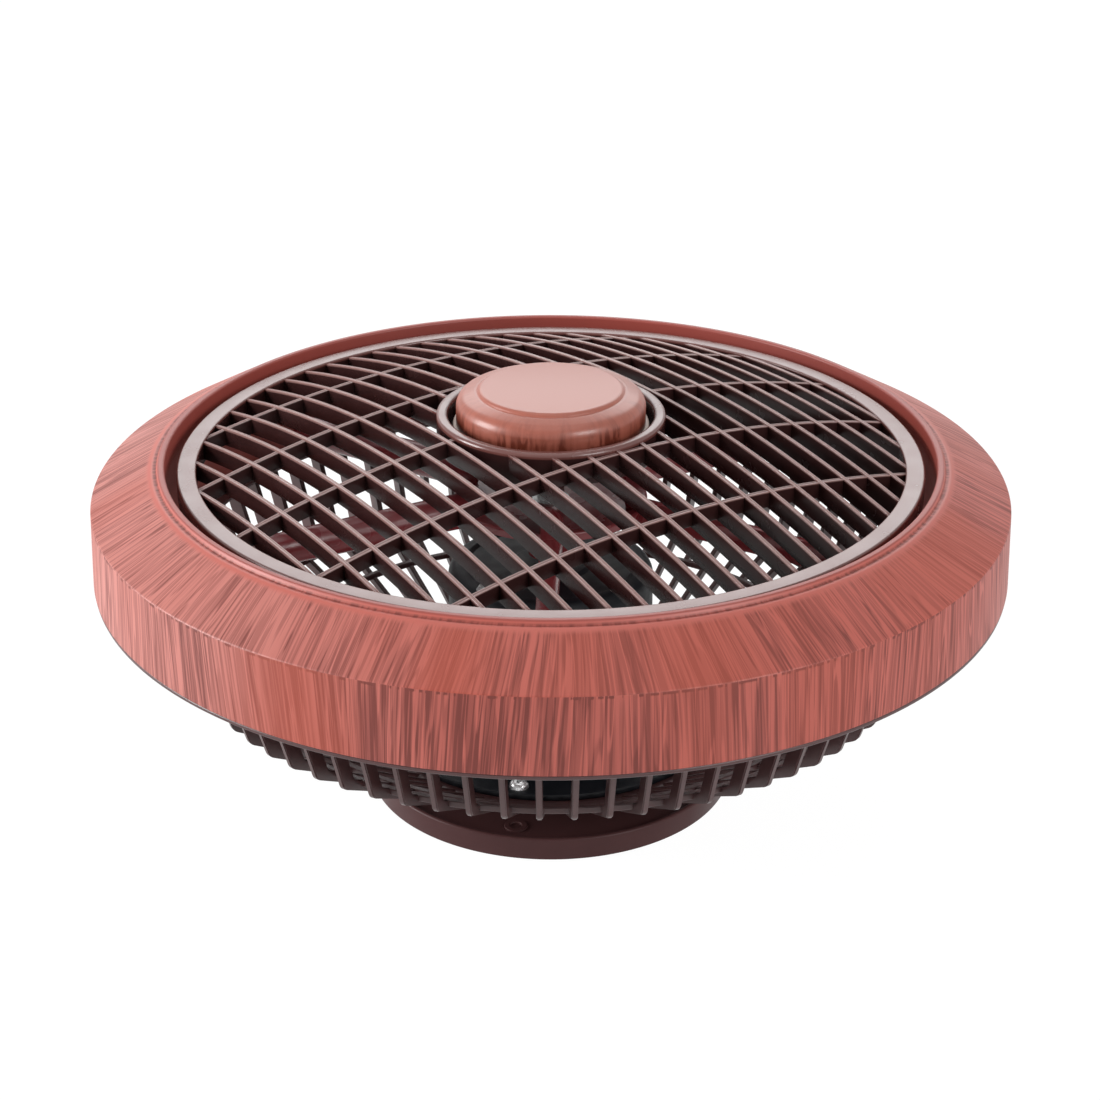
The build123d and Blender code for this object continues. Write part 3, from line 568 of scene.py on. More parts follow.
def moulded_plastic(name, colour, roughness, relief=0.00004, mottle=0.16, shine=0.5, coat=0.0):
    """Injection-moulded plastic: faint flow mottling and a fine skin."""
    r = Recipe(name, colour, roughness, coat=coat, coat_roughness=0.12)
    r.shader.inputs["Specular IOR Level"].default_value = shine
    clouds = r.noise(r.place, 38.0, 3.0, 0.6)
    r.colour(r.blend(clouds, tinted(colour, 1 - mottle), tinted(colour, 1 + mottle)))
    r.roughness(r.ramp(r.noise(r.place, 55.0, 2.0), 0.3, 0.7, roughness * 0.85, roughness * 1.2))
    r.bump(r.noise(r.place, 900.0, 2.0), relief)
    return r.material


def grille_plastic(name, colour, pale, slat_top_highlight, dome_r, centre_z):
    """The grille's plastic, with a painted highlight along the edges that lie on its dome."""
    r = Recipe(name, colour, 0.24, coat=0.12, coat_roughness=0.12)
    _, radius, z = r.polar(0.2, 0.0)
    away = r.reach(radius, r.calc("SUBTRACT", z, centre_z))
    # Painted highlight: within about a millimetre of the dome's surface, the tops of the slats, ribs, rim and
    # hub ring are painted pale, standing in for the overhead lamp's reflection.
    edge = r.ramp(away, dome_r - 0.0013, dome_r - 0.0005)
    clouds = r.noise(r.place, 60.0, 3.0, 0.6)
    deep = r.blend(clouds, tinted(colour, 0.8), tinted(colour, 1.2))
    # The rim's and hub ring's tops get the duller painted highlight, and the slats' and ribs' tops get the
    # brighter one.
    on_rim = r.ramp(radius, 0.1655, 0.1680)
    on_hub = r.ramp(radius, 0.0560, 0.0575, 1.0, 0.0)
    rings = r.calc("ADD", on_rim, on_hub)
    r.colour(r.blend(edge, deep, r.blend(rings, slat_top_highlight, pale)))
    r.feed(r.shader.inputs["Specular IOR Level"], r.ramp(edge, 0.0, 1.0, 0.25, 0.5))
    r.feed(r.shader.inputs["Coat Weight"], r.ramp(edge, 0.0, 1.0, 0.0, 0.12))
    r.roughness(r.ramp(clouds, 0.3, 0.7, 0.20, 0.28))
    r.bump(r.noise(r.place, 900.0, 2.0), 0.00003)
    return r.material


def wood_look(name, finishes, crease_z):
    """Printed wood look: streaks up the wall and in along the cone, bare near the lip, with a painted sheen
    over the left side and painted shade in the groove by the lip.
    """
    r = Recipe(name, finishes.wood_light, 0.5, coat=0.05, coat_roughness=0.3)
    slow, radius, z = r.polar(0.2, 0.12)
    split = r.tree.nodes.new("ShaderNodeSeparateXYZ")
    r.feed(split.inputs[0], r.place)
    lean = r.ramp(r.noise(slow, 6.0, 1.0), 0.30, 0.70, -0.35, 0.75)
    twist = r.tree.nodes.new("ShaderNodeVectorRotate")
    twist.rotation_type = "Z_AXIS"
    r.feed(twist.inputs["Vector"], r.place)
    r.feed(twist.inputs["Angle"], r.calc("MULTIPLY", lean, r.calc("SUBTRACT", z, radius)))
    r.place = twist.outputs[0]
    shift = r.calc("MULTIPLY", r.calc("GREATER_THAN", z, crease_z - 0.0003), 3.7)
    straight, _, _ = r.polar(0.2, 0.015, shift)
    drifting, _, _ = r.polar(0.2, 0.035, shift)
    loose, _, _ = r.polar(0.2, 0.12, shift)
    fine_grain = r.ramp(r.noise(straight, 820.0, 1.0, 0.6, 0.2), 0.42, 0.58)
    wide_grain = r.ramp(r.noise(drifting, 300.0, 2.0, 0.5, 0.4), 0.46, 0.54)
    dark_lines = r.ridge(r.noise(drifting, 270.0, 1.0, 0.5, 0.3), 0.055)
    pale_lines = r.ridge(r.noise(drifting, 165.0, 1.0, 0.5, 0.5), 0.030)
    patches = r.noise(loose, 17.0, 2.0, 0.5, 0.6)
    near_front = r.ramp(split.outputs[1], -0.21, -0.15, 0.55, 0.0)
    heavy = r.calc("ADD", r.ramp(patches, 0.42, 0.64, 0.0, 0.55), near_front)
    share = r.calc("MULTIPLY", wide_grain, r.calc("ADD", r.calc("MULTIPLY", heavy, 0.42), 0.08))
    share = r.calc("ADD", share, r.calc("MULTIPLY", fine_grain, 0.46))
    share = r.calc("ADD", share, r.calc("MULTIPLY", dark_lines, 0.38))
    share = r.calc("SUBTRACT", share, r.calc("MULTIPLY", pale_lines, 0.55))
    share = r.calc("ADD", share, r.calc("MULTIPLY", heavy, 0.12))
    grained = r.ramp(radius, 0.1895, 0.1925)
    below = r.calc("SUBTRACT", crease_z - 0.0001, z)
    crease = r.calc("MULTIPLY", r.ramp(below, 0.0, 0.0005), r.ramp(below, 0.0008, 0.0018, 1.0, 0.0))
    ticks = r.calc("MULTIPLY", crease, r.ramp(r.noise(straight, 380.0, 2.0), 0.50, 0.57))
    # Painted shade: a dark line of uneven strength along the groove between the lip and the cone, added to
    # the crease ticks.
    groove = r.calc("MULTIPLY", r.ramp(radius, 0.1861, 0.1867), r.ramp(radius, 0.1876, 0.1888, 1.0, 0.0))
    groove = r.calc("MULTIPLY", groove, r.ramp(r.noise(straight, 380.0, 2.0), 0.38, 0.62, 0.45, 0.95))
    ticks_and_groove_shade = r.calc("ADD", r.calc("MULTIPLY", ticks, 0.9), groove)
    share = r.calc("ADD", r.calc("MULTIPLY", share, grained), ticks_and_groove_shade, clamp=True)
    # Painted sheen: the ground turns paler towards the left side, with a patchy border, standing in for the
    # left lamp's reflection.
    across = r.calc("ADD", split.outputs[0], r.calc("MULTIPLY", patches, 0.12))
    painted_sheen = r.ramp(across, -0.11, 0.05, 0.80, 0.0)
    light = r.blend(r.calc("MULTIPLY", painted_sheen, grained), finishes.wood_light, finishes.wood_painted_sheen)
    ground = r.blend(share, light, finishes.wood_dark)
    warm = r.ramp(r.noise(loose, 12.0, 2.0), 0.46, 0.68, 0.0, 0.60)
    ground = r.blend(r.calc("MULTIPLY", warm, grained), ground, finishes.wood_warm)
    lip = r.ramp(radius, 0.1858, 0.1862)
    r.colour(r.blend(lip, finishes.lip, ground))
    r.roughness(r.ramp(share, 0.0, 1.0, 0.46, 0.58))
    r.bump(r.calc("MULTIPLY", fine_grain, grained), 0.00008, 0.35)
    return r.material


def cap_wood(name, finishes):
    """Printed wood of the cap: a plain top and smoky grain that runs up its side."""
    r = Recipe(name, finishes.cap_light, 0.38, coat=0.2, coat_roughness=0.17)
    along, radius, z = r.polar(0.045, 0.22)
    grain = r.noise(along, 430.0, 2.0, 0.6, 0.6)
    smoke = r.noise(along, 62.0, 3.0, 0.6, 1.2)
    side = r.ramp(radius, 0.0300, 0.0435)
    low = r.ramp(z, 0.1920, 0.2015, 1.0, 0.25)
    dark = r.calc("MULTIPLY", r.ramp(smoke, 0.36, 0.58), r.ramp(grain, 0.36, 0.60, 0.25, 1.0))
    dark = r.calc("MULTIPLY", dark, r.calc("MULTIPLY", side, low))
    # Painted shade: the side is painted darker towards its bottom, where it sinks into the gap inside the hub
    # ring.
    dark = r.calc("ADD", dark, r.ramp(z, 0.1880, 0.1985, 0.35, 0.0), clamp=True)
    r.colour(r.blend(dark, finishes.cap_light, finishes.cap_veins_and_shade))
    r.bump(grain, 0.00003, 0.2)
    return r.material


def painted(name, colour, roughness):
    """Stoved paint on steel, with a light orange-peel."""
    r = Recipe(name, colour, roughness)
    r.shader.inputs["Specular IOR Level"].default_value = 0.28
    clouds = r.noise(r.place, 120.0, 2.0)
    r.colour(r.blend(clouds, tinted(colour, 0.8), tinted(colour, 1.3)))
    r.roughness(r.ramp(clouds, 0.3, 0.7, roughness * 0.9, roughness * 1.15))
    r.bump(r.noise(r.place, 700.0, 2.0), 0.00008)
    return r.material


def metal(name, colour, roughness, scale=(1.0, 1.0, 40.0)):
    """Turned or drawn metal: fine lines that run square to the axis of the longest stretch."""
    r = Recipe(name, colour, roughness, metallic=1.0)
    mapping = r.tree.nodes.new("ShaderNodeMapping")
    mapping.inputs["Scale"].default_value = scale
    r.feed(mapping.inputs["Vector"], r.place)
    lines = r.noise(mapping.outputs[0], 90.0, 3.0, 0.6)
    r.colour(r.blend(lines, tinted(colour, 0.85), tinted(colour, 1.1)))
    r.roughness(r.ramp(lines, 0.3, 0.7, roughness * 0.8, roughness * 1.3))
    r.bump(lines, 0.00003, 0.3)
    return r.material


def layered(name, colour, pitch, roughness, metallic):
    """Stacked sheets or wound wire: fine bands along the axis."""
    r = Recipe(name, colour, roughness, metallic=metallic)
    wave = r.tree.nodes.new("ShaderNodeTexWave")
    wave.bands_direction = "Z"
    wave.inputs["Scale"].default_value = 1.0 / (pitch * 20.0)
    wave.inputs["Distortion"].default_value = 0.4
    wave.inputs["Detail"].default_value = 1.0
    r.feed(wave.inputs["Vector"], r.place)
    r.colour(r.blend(wave.outputs["Fac"], tinted(colour, 0.55), colour))
    r.bump(wave.outputs["Fac"], 0.0002, 0.5)
    return r.material


def soft_rubber(name, colour):
    """Rubber with a dull, dusty skin."""
    r = Recipe(name, colour, 0.75)
    dust = r.noise(r.place, 260.0, 3.0, 0.6)
    r.colour(r.blend(dust, tinted(colour, 0.8), tinted(colour, 1.6)))
    r.bump(dust, 0.00006)
    return r.material


def node_finish(names, material):
    """Give CAD nodes that stay visible a finish."""
    for name in names:
        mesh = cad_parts[name].data
        mesh.materials.clear()
        mesh.materials.append(material)


# Pieces


class FAN_OT_trim(bpy.types.Operator):
    """Build the wood-look trim ring"""

    bl_idname = "fan.trim"
    bl_label = "Trim ring"

    def execute(self, context):
        s = context.scene.fan_trim
        foot_z = trim_low.z
        wall = 0.0024
        corners = [
            (s.foot_r, foot_z, 0.0006),
            (s.crease_r, s.crease_z, 0.0014),
            (0.1953, 0.1696, 0.0060),
            (0.1884, 0.1733, 0.0040),
            (0.1868, 0.1729, 0.0005),
            (0.1857, 0.1750, 0.0010),
            (s.lip_r, 0.1751, 0.0012),
            (s.lip_r, foot_z, 0.0004),
            (s.lip_r + wall, foot_z),
            (s.lip_r + wall, 0.1708),
            (0.1941, 0.1672),
            (s.crease_r - wall, s.crease_z - 0.7 * wall),
            (s.foot_r - wall, foot_z),
        ]
        wood = wood_look("wood look", context.scene.fan_finishes, s.crease_z)
        dress_turned("trim_shell", corners, 360, "housing", wood, ["trim_ring"])
        return {"FINISHED"}


class FAN_OT_grille(bpy.types.Operator):
    """Build the louvre grille: rim, slats, ribs and hub ring"""

    bl_idname = "fan.grille"
    bl_label = "Louvre grille"

    def execute(self, context):
        s = context.scene.fan_grille
        finishes = context.scene.fan_finishes
        rim_top, rim_wall, rim_inside = 0.1713, 0.0022, 0.1752
        dome_r = (s.inner_r**2 + s.dome_h**2) / (2 * s.dome_h)
        dome_top = rim_top - 0.0005 + s.dome_h
        dome_centre = dome_top - dome_r
        plastic = grille_plastic(
            "grille plastic", finishes.grille, finishes.grille_edge_highlight, finishes.slat_top_highlight, dome_r, dome_centre
        )
        rim_low = grille_low.z
        rim = [
            (s.inner_r, rim_low, 0.0004),
            (s.inner_r + rim_wall, rim_low),
            (s.inner_r + rim_wall, rim_top - rim_wall),
            (rim_inside, rim_top - rim_wall),
            (rim_inside, rim_low),
            (grille_high.x, rim_low, 0.0004),
            (grille_high.x, rim_top, 0.0014),
            (s.inner_r, rim_top, 0.0010),
        ]
        dress_turned("grille_rim", rim, 300, "grille", plastic, ["louvre_grille"])
        bore_r, boss_r, ring_inside = 0.0111, 0.015, 0.049
        boss_z, floor_z, floor_top, ring_top = 0.173, 0.177, 0.180, 0.193
        hub = [
            (bore_r, boss_z), (boss_r, boss_z, 0.0005), (boss_r, floor_z), (s.hub_r, floor_z, 0.0008),
            (s.hub_r, ring_top, 0.0018), (ring_inside, ring_top, 0.0018), (ring_inside, floor_top),
            (bore_r, floor_top),
        ]
        dress_turned("grille_hub", hub, 160, "grille", plastic)
        tree = louvre_tree()
        common = {
            "Reach": s.inner_r + 0.0011, "Dome_radius": dome_r, "Dome_centre": dome_centre,
            "Hole": s.hub_r - 0.0027, "Samples": 110, "Material": plastic,
        }
        slats = grown(
            "grille_slats", slat_section(s.slat_width, s.slat_depth), tree, Count=s.slats,
            Pitch=s.slat_pitch, Turn=s.turn + math.pi / 2, **common,
        )
        dress("grille_slats", slats, "grille", plastic)
        ribs = grown(
            "grille_ribs", slat_section(s.rib_width, s.slat_depth, 0.0006), tree, Count=s.ribs,
            Pitch=s.rib_pitch, Turn=s.turn, **common,
        )
        dress("grille_ribs", ribs, "grille", plastic)
        return {"FINISHED"}


class FAN_OT_cap(bpy.types.Operator):
    """Build the centre cap and its carrier"""

    bl_idname = "fan.cap"
    bl_label = "Cap"

    def execute(self, context):
        finishes = context.scene.fan_finishes
        low, top = cap_low.z, cap_high.z
        side_r, inside_r, disc_inside, groove_z, under_z = 0.0450, 0.0428, 0.0323, 0.2031, top - 0.0022
        cap = [
            (side_r, low, 0.0004), (side_r, 0.2006, 0.0062), (0.0362, groove_z, 0.0012),
            (0.0350, groove_z, 0.0008), (0.0340, top, 0.0024),
            (0.0, top), (0.0, under_z), (disc_inside, under_z), (disc_inside, 0.2002),
            (inside_r, 0.1984), (inside_r, low),
        ]
        wood = cap_wood("cap wood", finishes)
        dress_turned("cap", cap, 200, "grille", wood, ["centre_cap"])
        bore_r, rim_r, collar_r, collar_inside = 0.0105, 0.0466, 0.0427, 0.0407
        seat_z, floor_top, collar_top = 0.180, 0.1824, low + 0.005
        carrier = [
            (bore_r, seat_z, 0.0003), (collar_r, seat_z, 0.0006), (rim_r, 0.1850, 0.0004),
            (rim_r, low, 0.0005), (collar_r, low), (collar_r, collar_top, 0.0003),
            (collar_inside, collar_top, 0.0003), (collar_inside, floor_top), (bore_r, floor_top, 0.0003),
        ]
        cream = moulded_plastic("carrier plastic", finishes.carrier, 0.45, mottle=0.05)
        dress_turned("carrier_disc", carrier, 160, "grille", cream, ["cap_carrier"])
        return {"FINISHED"}


class FAN_OT_cage(bpy.types.Operator):
    """Build the rear cage: flange, hub disc, bars and hoops"""

    bl_idname = "fan.cage"
    bl_label = "Rear cage"

    def execute(self, context):
        s = context.scene.fan_cage
        plastic = moulded_plastic("cage plastic", context.scene.fan_finishes.cage, 0.34)
        flange_r, flange_z, flange_top = 0.174, 0.1188, cage_high.z
        flange = [
            (flange_r, flange_z, 0.0006), (cage_high.x, flange_z, 0.0007),
            (cage_high.x, flange_top, 0.0007), (flange_r, flange_top, 0.0006),
        ]
        dress_turned("cage_flange", flange, 300, "housing", plastic, ["rear_cage"])
        hub = disc(0.007, 0.090, NECK_TOP, CAGE_HUB_TOP)
        dress_turned("cage_hub", hub, 160, "housing", plastic)
        corner_r, corner_z, top_r, hub_r = 0.1748, 0.0732, 0.1894, 0.087
        slope = (corner_z - NECK_TOP) / (corner_r - hub_r)
        inner_r = corner_r - s.bar_depth
        inner_z = corner_z - slope * s.bar_depth + s.foot_depth
        bar_top = flange_z + 0.001
        bar = [
            (hub_r, NECK_TOP), (corner_r, corner_z, s.corner_round), (top_r + 0.0003, bar_top),
            (top_r - s.bar_depth, bar_top), (inner_r, inner_z, 0.002), (hub_r, CAGE_HUB_TOP),
        ]
        mesh = plate("cage_bars", bar, s.bar_width)
        bars = around("cage_bars", mesh, s.bars, s.turn, plastic)
        dress("cage_bars", bars, "housing", plastic)
        hoop_size, hoop_round = 0.003, 0.0005
        for i, radius in enumerate((0.160, 0.138)):
            low = corner_z - slope * (corner_r - radius) + 0.003
            inside, outside, high = radius - hoop_size / 2, radius + hoop_size / 2, low + hoop_size
            hoop = [
                (inside, low, hoop_round), (outside, low, hoop_round),
                (outside, high, hoop_round), (inside, high, hoop_round),
            ]
            dress_turned(f"cage_hoop_{i + 1}", hoop, s.bars * 4, "housing", plastic)
        return {"FINISHED"}


class FAN_OT_ceiling_plate(bpy.types.Operator):
    """Build the ceiling plate with its neck and bosses"""

    bl_idname = "fan.ceiling_plate"
    bl_label = "Ceiling plate"

    def execute(self, context):
        plastic = moulded_plastic("base plastic", context.scene.fan_finishes.cage, 0.36, shine=0.14)
        wall, deck, rim = 0.0025, 0.008, 0.0113
        outer = base_high.x
        neck_r, neck_inside, hole_r, neck_under = 0.058, 0.055, 0.034, 0.023
        dish = [
            (neck_inside, deck - wall), (outer - wall, deck - wall), (outer - wall, 0.0, 0.0003),
            (outer, 0.0, 0.0006), (outer, rim, 0.0012), (outer - wall, rim, 0.0009),
            (outer - wall, deck, 0.0006), (neck_r, deck, 0.0015), (neck_r, NECK_TOP, 0.0008),
            (hole_r, NECK_TOP), (hole_r, neck_under), (neck_inside, neck_under),
        ]
        dress_turned(
            "base_dish", dish, LATHE_STEPS, "housing", plastic, ["ceiling_plate"]
        )
        boss_r, foot, crown, pit = 0.0056, deck - 0.0004, deck + 0.0008, deck - 0.0002
        boss = [
            (0.0, foot), (boss_r, foot), (boss_r, crown, 0.0004), (0.0030, crown, 0.0003),
            (0.0027, pit), (0.0, pit),
        ]
        mesh = lathe("base_bosses", boss, 40)
        mesh.transform(Matrix.Translation((0.075, 0.0, 0.0)))
        bosses = around("base_bosses", mesh, 4, math.radians(-102.7), plastic)
        dress("base_bosses", bosses, "housing", plastic)
        return {"FINISHED"}


class FAN_OT_motor(bpy.types.Operator):
    """Build the motor's shells, its plate and the plate's screws"""

    bl_idname = "fan.motor"
    bl_label = "Motor"

    def execute(self, context):
        black = painted("motor paint", context.scene.fan_finishes.motor, 0.5)
        shell_r, joint_r, inside_r, seat_r, bearing_r, hole_r = 0.050, 0.0485, 0.044, 0.016, 0.0131, 0.006
        low, high, skin, seat_h, dent_z = MOTOR_SEAT, 0.114, 0.003, 0.011, 0.1125
        rear = [
            (hole_r, low), (shell_r, low, 0.006), (shell_r, 0.0636, 0.0006), (joint_r, 0.0636),
            (joint_r, 0.062), (inside_r, 0.062), (inside_r, low + skin), (seat_r, low + skin),
            (seat_r, low + seat_h), (bearing_r, low + seat_h), (bearing_r, low + skin),
            (hole_r, low + skin),
        ]
        dress_turned("motor_rear", rear, 160, "housing", black, ["motor_shell_rear"])
        front = [
            (hole_r, high), (0.018, high, 0.001), (0.020, dent_z, 0.001), (0.040, dent_z, 0.001),
            (0.042, high, 0.001), (shell_r, high, 0.006), (shell_r, 0.0804, 0.0006), (joint_r, 0.0804),
            (joint_r, 0.082), (inside_r, 0.082), (inside_r, high - skin), (seat_r, high - skin),
            (seat_r, high - seat_h), (bearing_r, high - seat_h), (bearing_r, high - skin),
            (hole_r, high - skin),
        ]
        dress_turned("motor_front", front, 160, "housing", black, ["motor_shell_front"])
        plate_black = painted("plate paint", context.scene.fan_finishes.motor, 0.42)
        dress_turned(
            "motor_disc", disc(0.007, 0.085, CAGE_HUB_TOP, MOTOR_SEAT), 160, "housing",
            plate_black, ["motor_plate"],
        )
        mesh = dome_screw(
            "plate_dome_screws", shank_r=0.0020, length=0.0092, head_r=0.0048, head_h=0.0041,
            seat_z=MOTOR_SEAT,
        )
        nut_r, nut_low = 0.0038, 0.0228
        nut = [(0.0, nut_low), (nut_r, nut_low, 0.0004), (nut_r, NECK_TOP), (0.0, NECK_TOP)]
        join(mesh, lathe("nut", nut, 6))
        mesh.transform(Matrix.Translation((0.0775, 0.0, 0.0)))
        chrome = metal("screw chrome", (0.95, 0.95, 0.96), 0.28)
        screws = around("plate_dome_screws", mesh, 4, math.radians(-101.0), chrome)
        dress("plate_dome_screws", screws, "housing", chrome, ["plate_screws"])
        return {"FINISHED"}


def join(mesh, other):
    """Add another mesh to a mesh."""
    work = bmesh.new()
    work.from_mesh(mesh)
    work.from_mesh(other)
    work.to_mesh(mesh)
    work.free()
    smooth(mesh)


def dome_screw(name, shank_r, length, head_r, head_h, seat_z):
    """Mesh of a dome-head screw with a cross recess, its head standing on seat_z."""
    steps = 32
    profile = [(0.0, seat_z - length), (shank_r, seat_z - length), (shank_r, seat_z), (head_r, seat_z)]
    for k in range(1, 7):
        angle = math.radians(15 * k)
        profile.append((head_r * math.cos(angle), seat_z + head_h * math.sin(angle)))
    mesh = lathe(name, profile, steps)
    cutter = bmesh.new()
    for turn in (0.0, math.pi / 2):
        made = bmesh.ops.create_cube(cutter, size=1.0)
        shape = Matrix.Diagonal((1.25 * head_r, 0.30 * head_r, head_h, 1.0))
        place = Matrix.Translation((0.0, 0.0, seat_z + 0.95 * head_h))
        bmesh.ops.transform(cutter, matrix=place @ Matrix.Rotation(turn, 4, "Z") @ shape, verts=made["verts"])
    cross = bpy.data.meshes.new("cross")
    cutter.to_mesh(cross)
    cutter.free()
    body = bpy.data.objects.new("screw_body", mesh)
    tool = bpy.data.objects.new("screw_cross", cross)
    for item in (body, tool):
        bpy.context.scene.collection.objects.link(item)
    cut = body.modifiers.new("Cut", "BOOLEAN")
    cut.operation = "DIFFERENCE"
    cut.object = tool
    cut.use_self = True
    bpy.context.view_layer.update()
    made = bpy.data.meshes.new_from_object(body.evaluated_get(bpy.context.evaluated_depsgraph_get()))
    for item in (body, tool):
        bpy.data.objects.remove(item)
    smooth(made)
    return made


class FAN_OT_impeller(bpy.types.Operator):
    """Build the impeller's dished hub and its steep scooped blades"""

    bl_idname = "fan.impeller"
    bl_label = "Impeller"

    def execute(self, context):
        s = context.scene.fan_blades
        plastic = moulded_plastic("blade plastic", context.scene.fan_finishes.blades, 0.25, mottle=0.08)
        bore_r, collar_r, floor_r, dish_r, rim_r = 0.0051, 0.011, 0.020, 0.044, 0.0465
        collar_z, under_z, floor_z, rim_z = 0.119, 0.1445, 0.147, 0.1455
        hub = [
            (bore_r, collar_z), (collar_r, collar_z), (collar_r, under_z), (floor_r, under_z),
            (dish_r, 0.1475), (dish_r, rim_z), (rim_r, rim_z, 0.0004), (rim_r, 0.150, 0.0012),
            (floor_r, floor_z), (bore_r, floor_z),
        ]
        dress_turned("impeller_hub", hub, 120, "fan_rotor", plastic, ["impeller"])
        blade = blade_mesh("impeller_blades", s)
        blades = around("impeller_blades", blade, s.blades, s.turn, plastic)
        dress("impeller_blades", blades, "fan_rotor", plastic)
        return {"FINISHED"}


def blade_mesh(name, s):
    """Closed mesh of one steep scooped blade with a rounded tip."""
    root, mid_z, camber, thick = 0.0382, 0.151, 0.0055, 0.002
    spans, chords = 26, 20
    verts, faces = [], []
    for side in (1, -1):
        for i in range(spans + 1):
            v = i / spans
            fall = max(0.0, (v - 0.93) / 0.07)
            half = 0.5 * (s.root_chord + v * (s.tip_chord - s.root_chord)) * (1.0 - 0.10 * fall**3)
            pitch = s.root_pitch + v * (s.tip_pitch - s.root_pitch)
            bend = (half**2 + camber**2) / (2.0 * camber)
            for j in range(chords + 1):
                u = 2.0 * j / chords - 1.0
                turn = u * math.asin(half / bend)
                edge = max(0.0, 1.0 - u**6)
                across = bend * math.sin(turn)
                up = bend * math.cos(turn) - bend + camber + 0.5 * thick
                up += side * 0.5 * thick * (0.35 + 0.65 * edge)
                tangent = across * math.cos(pitch) - up * math.sin(pitch)
                z = mid_z + across * math.sin(pitch) + up * math.cos(pitch)
                tip = math.sqrt((s.tip_r - 0.0002)**2 - tangent**2)
                verts.append((root + v * (tip - root), tangent, z))
    width = chords + 1
    layer = (spans + 1) * width
    for i in range(spans):
        for j in range(chords):
            a = i * width + j
            faces.append((a, a + 1, a + width + 1, a + width))
            faces.append((layer + a + width, layer + a + width + 1, layer + a + 1, layer + a))
    rim = list(range(width))
    rim += [k * width + chords for k in range(1, spans + 1)]
    rim += [spans * width + j for j in range(chords - 1, -1, -1)]
    rim += [k * width for k in range(spans - 1, 0, -1)]
    for a, b in zip(rim, rim[1:] + rim[:1]):
        faces.append((b, a, layer + a, layer + b))
    return mesh_from(name, verts, faces)


class FAN_OT_inner_finishes(bpy.types.Operator):
    """Finish the CAD nodes that keep their own shapes"""

    bl_idname = "fan.inner_finishes"
    bl_label = "Inner finishes"

    def execute(self, context):
        zinc = metal("zinc plate", (0.55, 0.56, 0.56), 0.32)
        plated = [
            "mount_bolts", "motor_bolts", "trim_screws", "carrier_screws", "impeller_nut",
            "impeller_washer",
        ]
        node_finish(plated, zinc)
        steel = metal("ground steel", (0.60, 0.60, 0.61), 0.25, (1.0, 1.0, 60.0))
        node_finish(["motor_shaft", "impeller_pin", "spacer_sleeve"], steel)
        node_finish(["shaft_clip"], metal("blued steel", (0.12, 0.12, 0.15), 0.3))
        bearing = metal("bearing steel", (0.66, 0.66, 0.66), 0.15, (30.0, 30.0, 1.0))
        node_finish(["front_bearing", "rear_bearing", "grille_bearing"], bearing)
        node_finish(["stator_core"], layered("laminations", (0.30, 0.30, 0.31), 0.0005, 0.45, 0.9))
        node_finish(["rotor_core"], metal("cast alloy", (0.55, 0.55, 0.57), 0.5, (6.0, 6.0, 6.0)))
        node_finish(["stator_winding"], layered("copper wire", (0.50, 0.20, 0.08), 0.0008, 0.35, 0.85))
        node_finish(["capacitor"], moulded_plastic("capacitor case", (0.60, 0.58, 0.52), 0.5))
        node_finish(["terminal_block"], moulded_plastic("terminal nylon", (0.70, 0.70, 0.66), 0.4))
        node_finish(["cable_grommet"], soft_rubber("grommet rubber", (0.012, 0.012, 0.012)))
        return {"FINISHED"}


class FAN_OT_stage(bpy.types.Operator):
    """Set the floor, lamps, background and camera"""

    bl_idname = "fan.stage"
    bl_label = "Stage"

    def execute(self, context):
        s = context.scene.fan_stage
        scene = context.scene
        scene.view_settings.view_transform = "Standard"
        mesh = bpy.data.meshes.new("floor")
        side = 6.0
        corners = [(-side, -side, 0), (side, -side, 0), (side, side, 0), (-side, side, 0)]
        mesh.from_pydata(corners, [], [(0, 1, 2, 3)])
        floor = bpy.data.objects.new("floor", mesh)
        scene.collection.objects.link(floor)
        floor.location.z = -0.0005
        mesh.materials.append(floor_finish())
        world = bpy.data.worlds.new("studio")
        scene.world = world
        world.use_nodes = True
        tree = world.node_tree
        back = tree.nodes["Background"]
        back.inputs["Color"].default_value = (1.0, 1.0, 1.0, 1.0)
        level = tree.nodes.new("ShaderNodeMapRange")
        level.inputs["To Min"].default_value = 0.18
        level.inputs["To Max"].default_value = 1.0
        tree.links.new(seen_rays(tree), level.inputs["Value"])
        tree.links.new(level.outputs[0], back.inputs["Strength"])
        soft_box("rear_box", (0.0, 1.9, 1.35), (0.0, 0.0, 0.15), (2.4, 1.0), s.rear_light)
        soft_box("top_box", (0.0, -0.2, 2.2), (0.0, 0.0, 0.1), (1.6, 1.6), s.top_light)
        soft_box("side_box", (-2.1, -0.2, 0.7), (0.0, 0.0, 0.12), (1.0, 1.2), s.side_light)
        soft_box("front_box", (1.5, -1.6, 1.2), (0.0, 0.0, 0.12), (1.0, 1.0), s.front_light)
        lens = bpy.data.cameras.new("camera")
        lens.sensor_width = 36.0
        lens.lens = s.lens
        camera = bpy.data.objects.new("camera", lens)
        scene.collection.objects.link(camera)
        camera.location = s.place
        camera.rotation_euler = s.tilt
        scene.camera = camera
        return {"FINISHED"}


def seen_rays(tree):
    """One for rays from the camera or off a glossy surface, else nothing."""
    rays = tree.nodes.new("ShaderNodeLightPath")
    seen = tree.nodes.new("ShaderNodeMath")
    seen.operation = "MAXIMUM"
    tree.links.new(rays.outputs["Is Camera Ray"], seen.inputs[0])
    tree.links.new(rays.outputs["Is Glossy Ray"], seen.inputs[1])
    return seen.outputs[0]


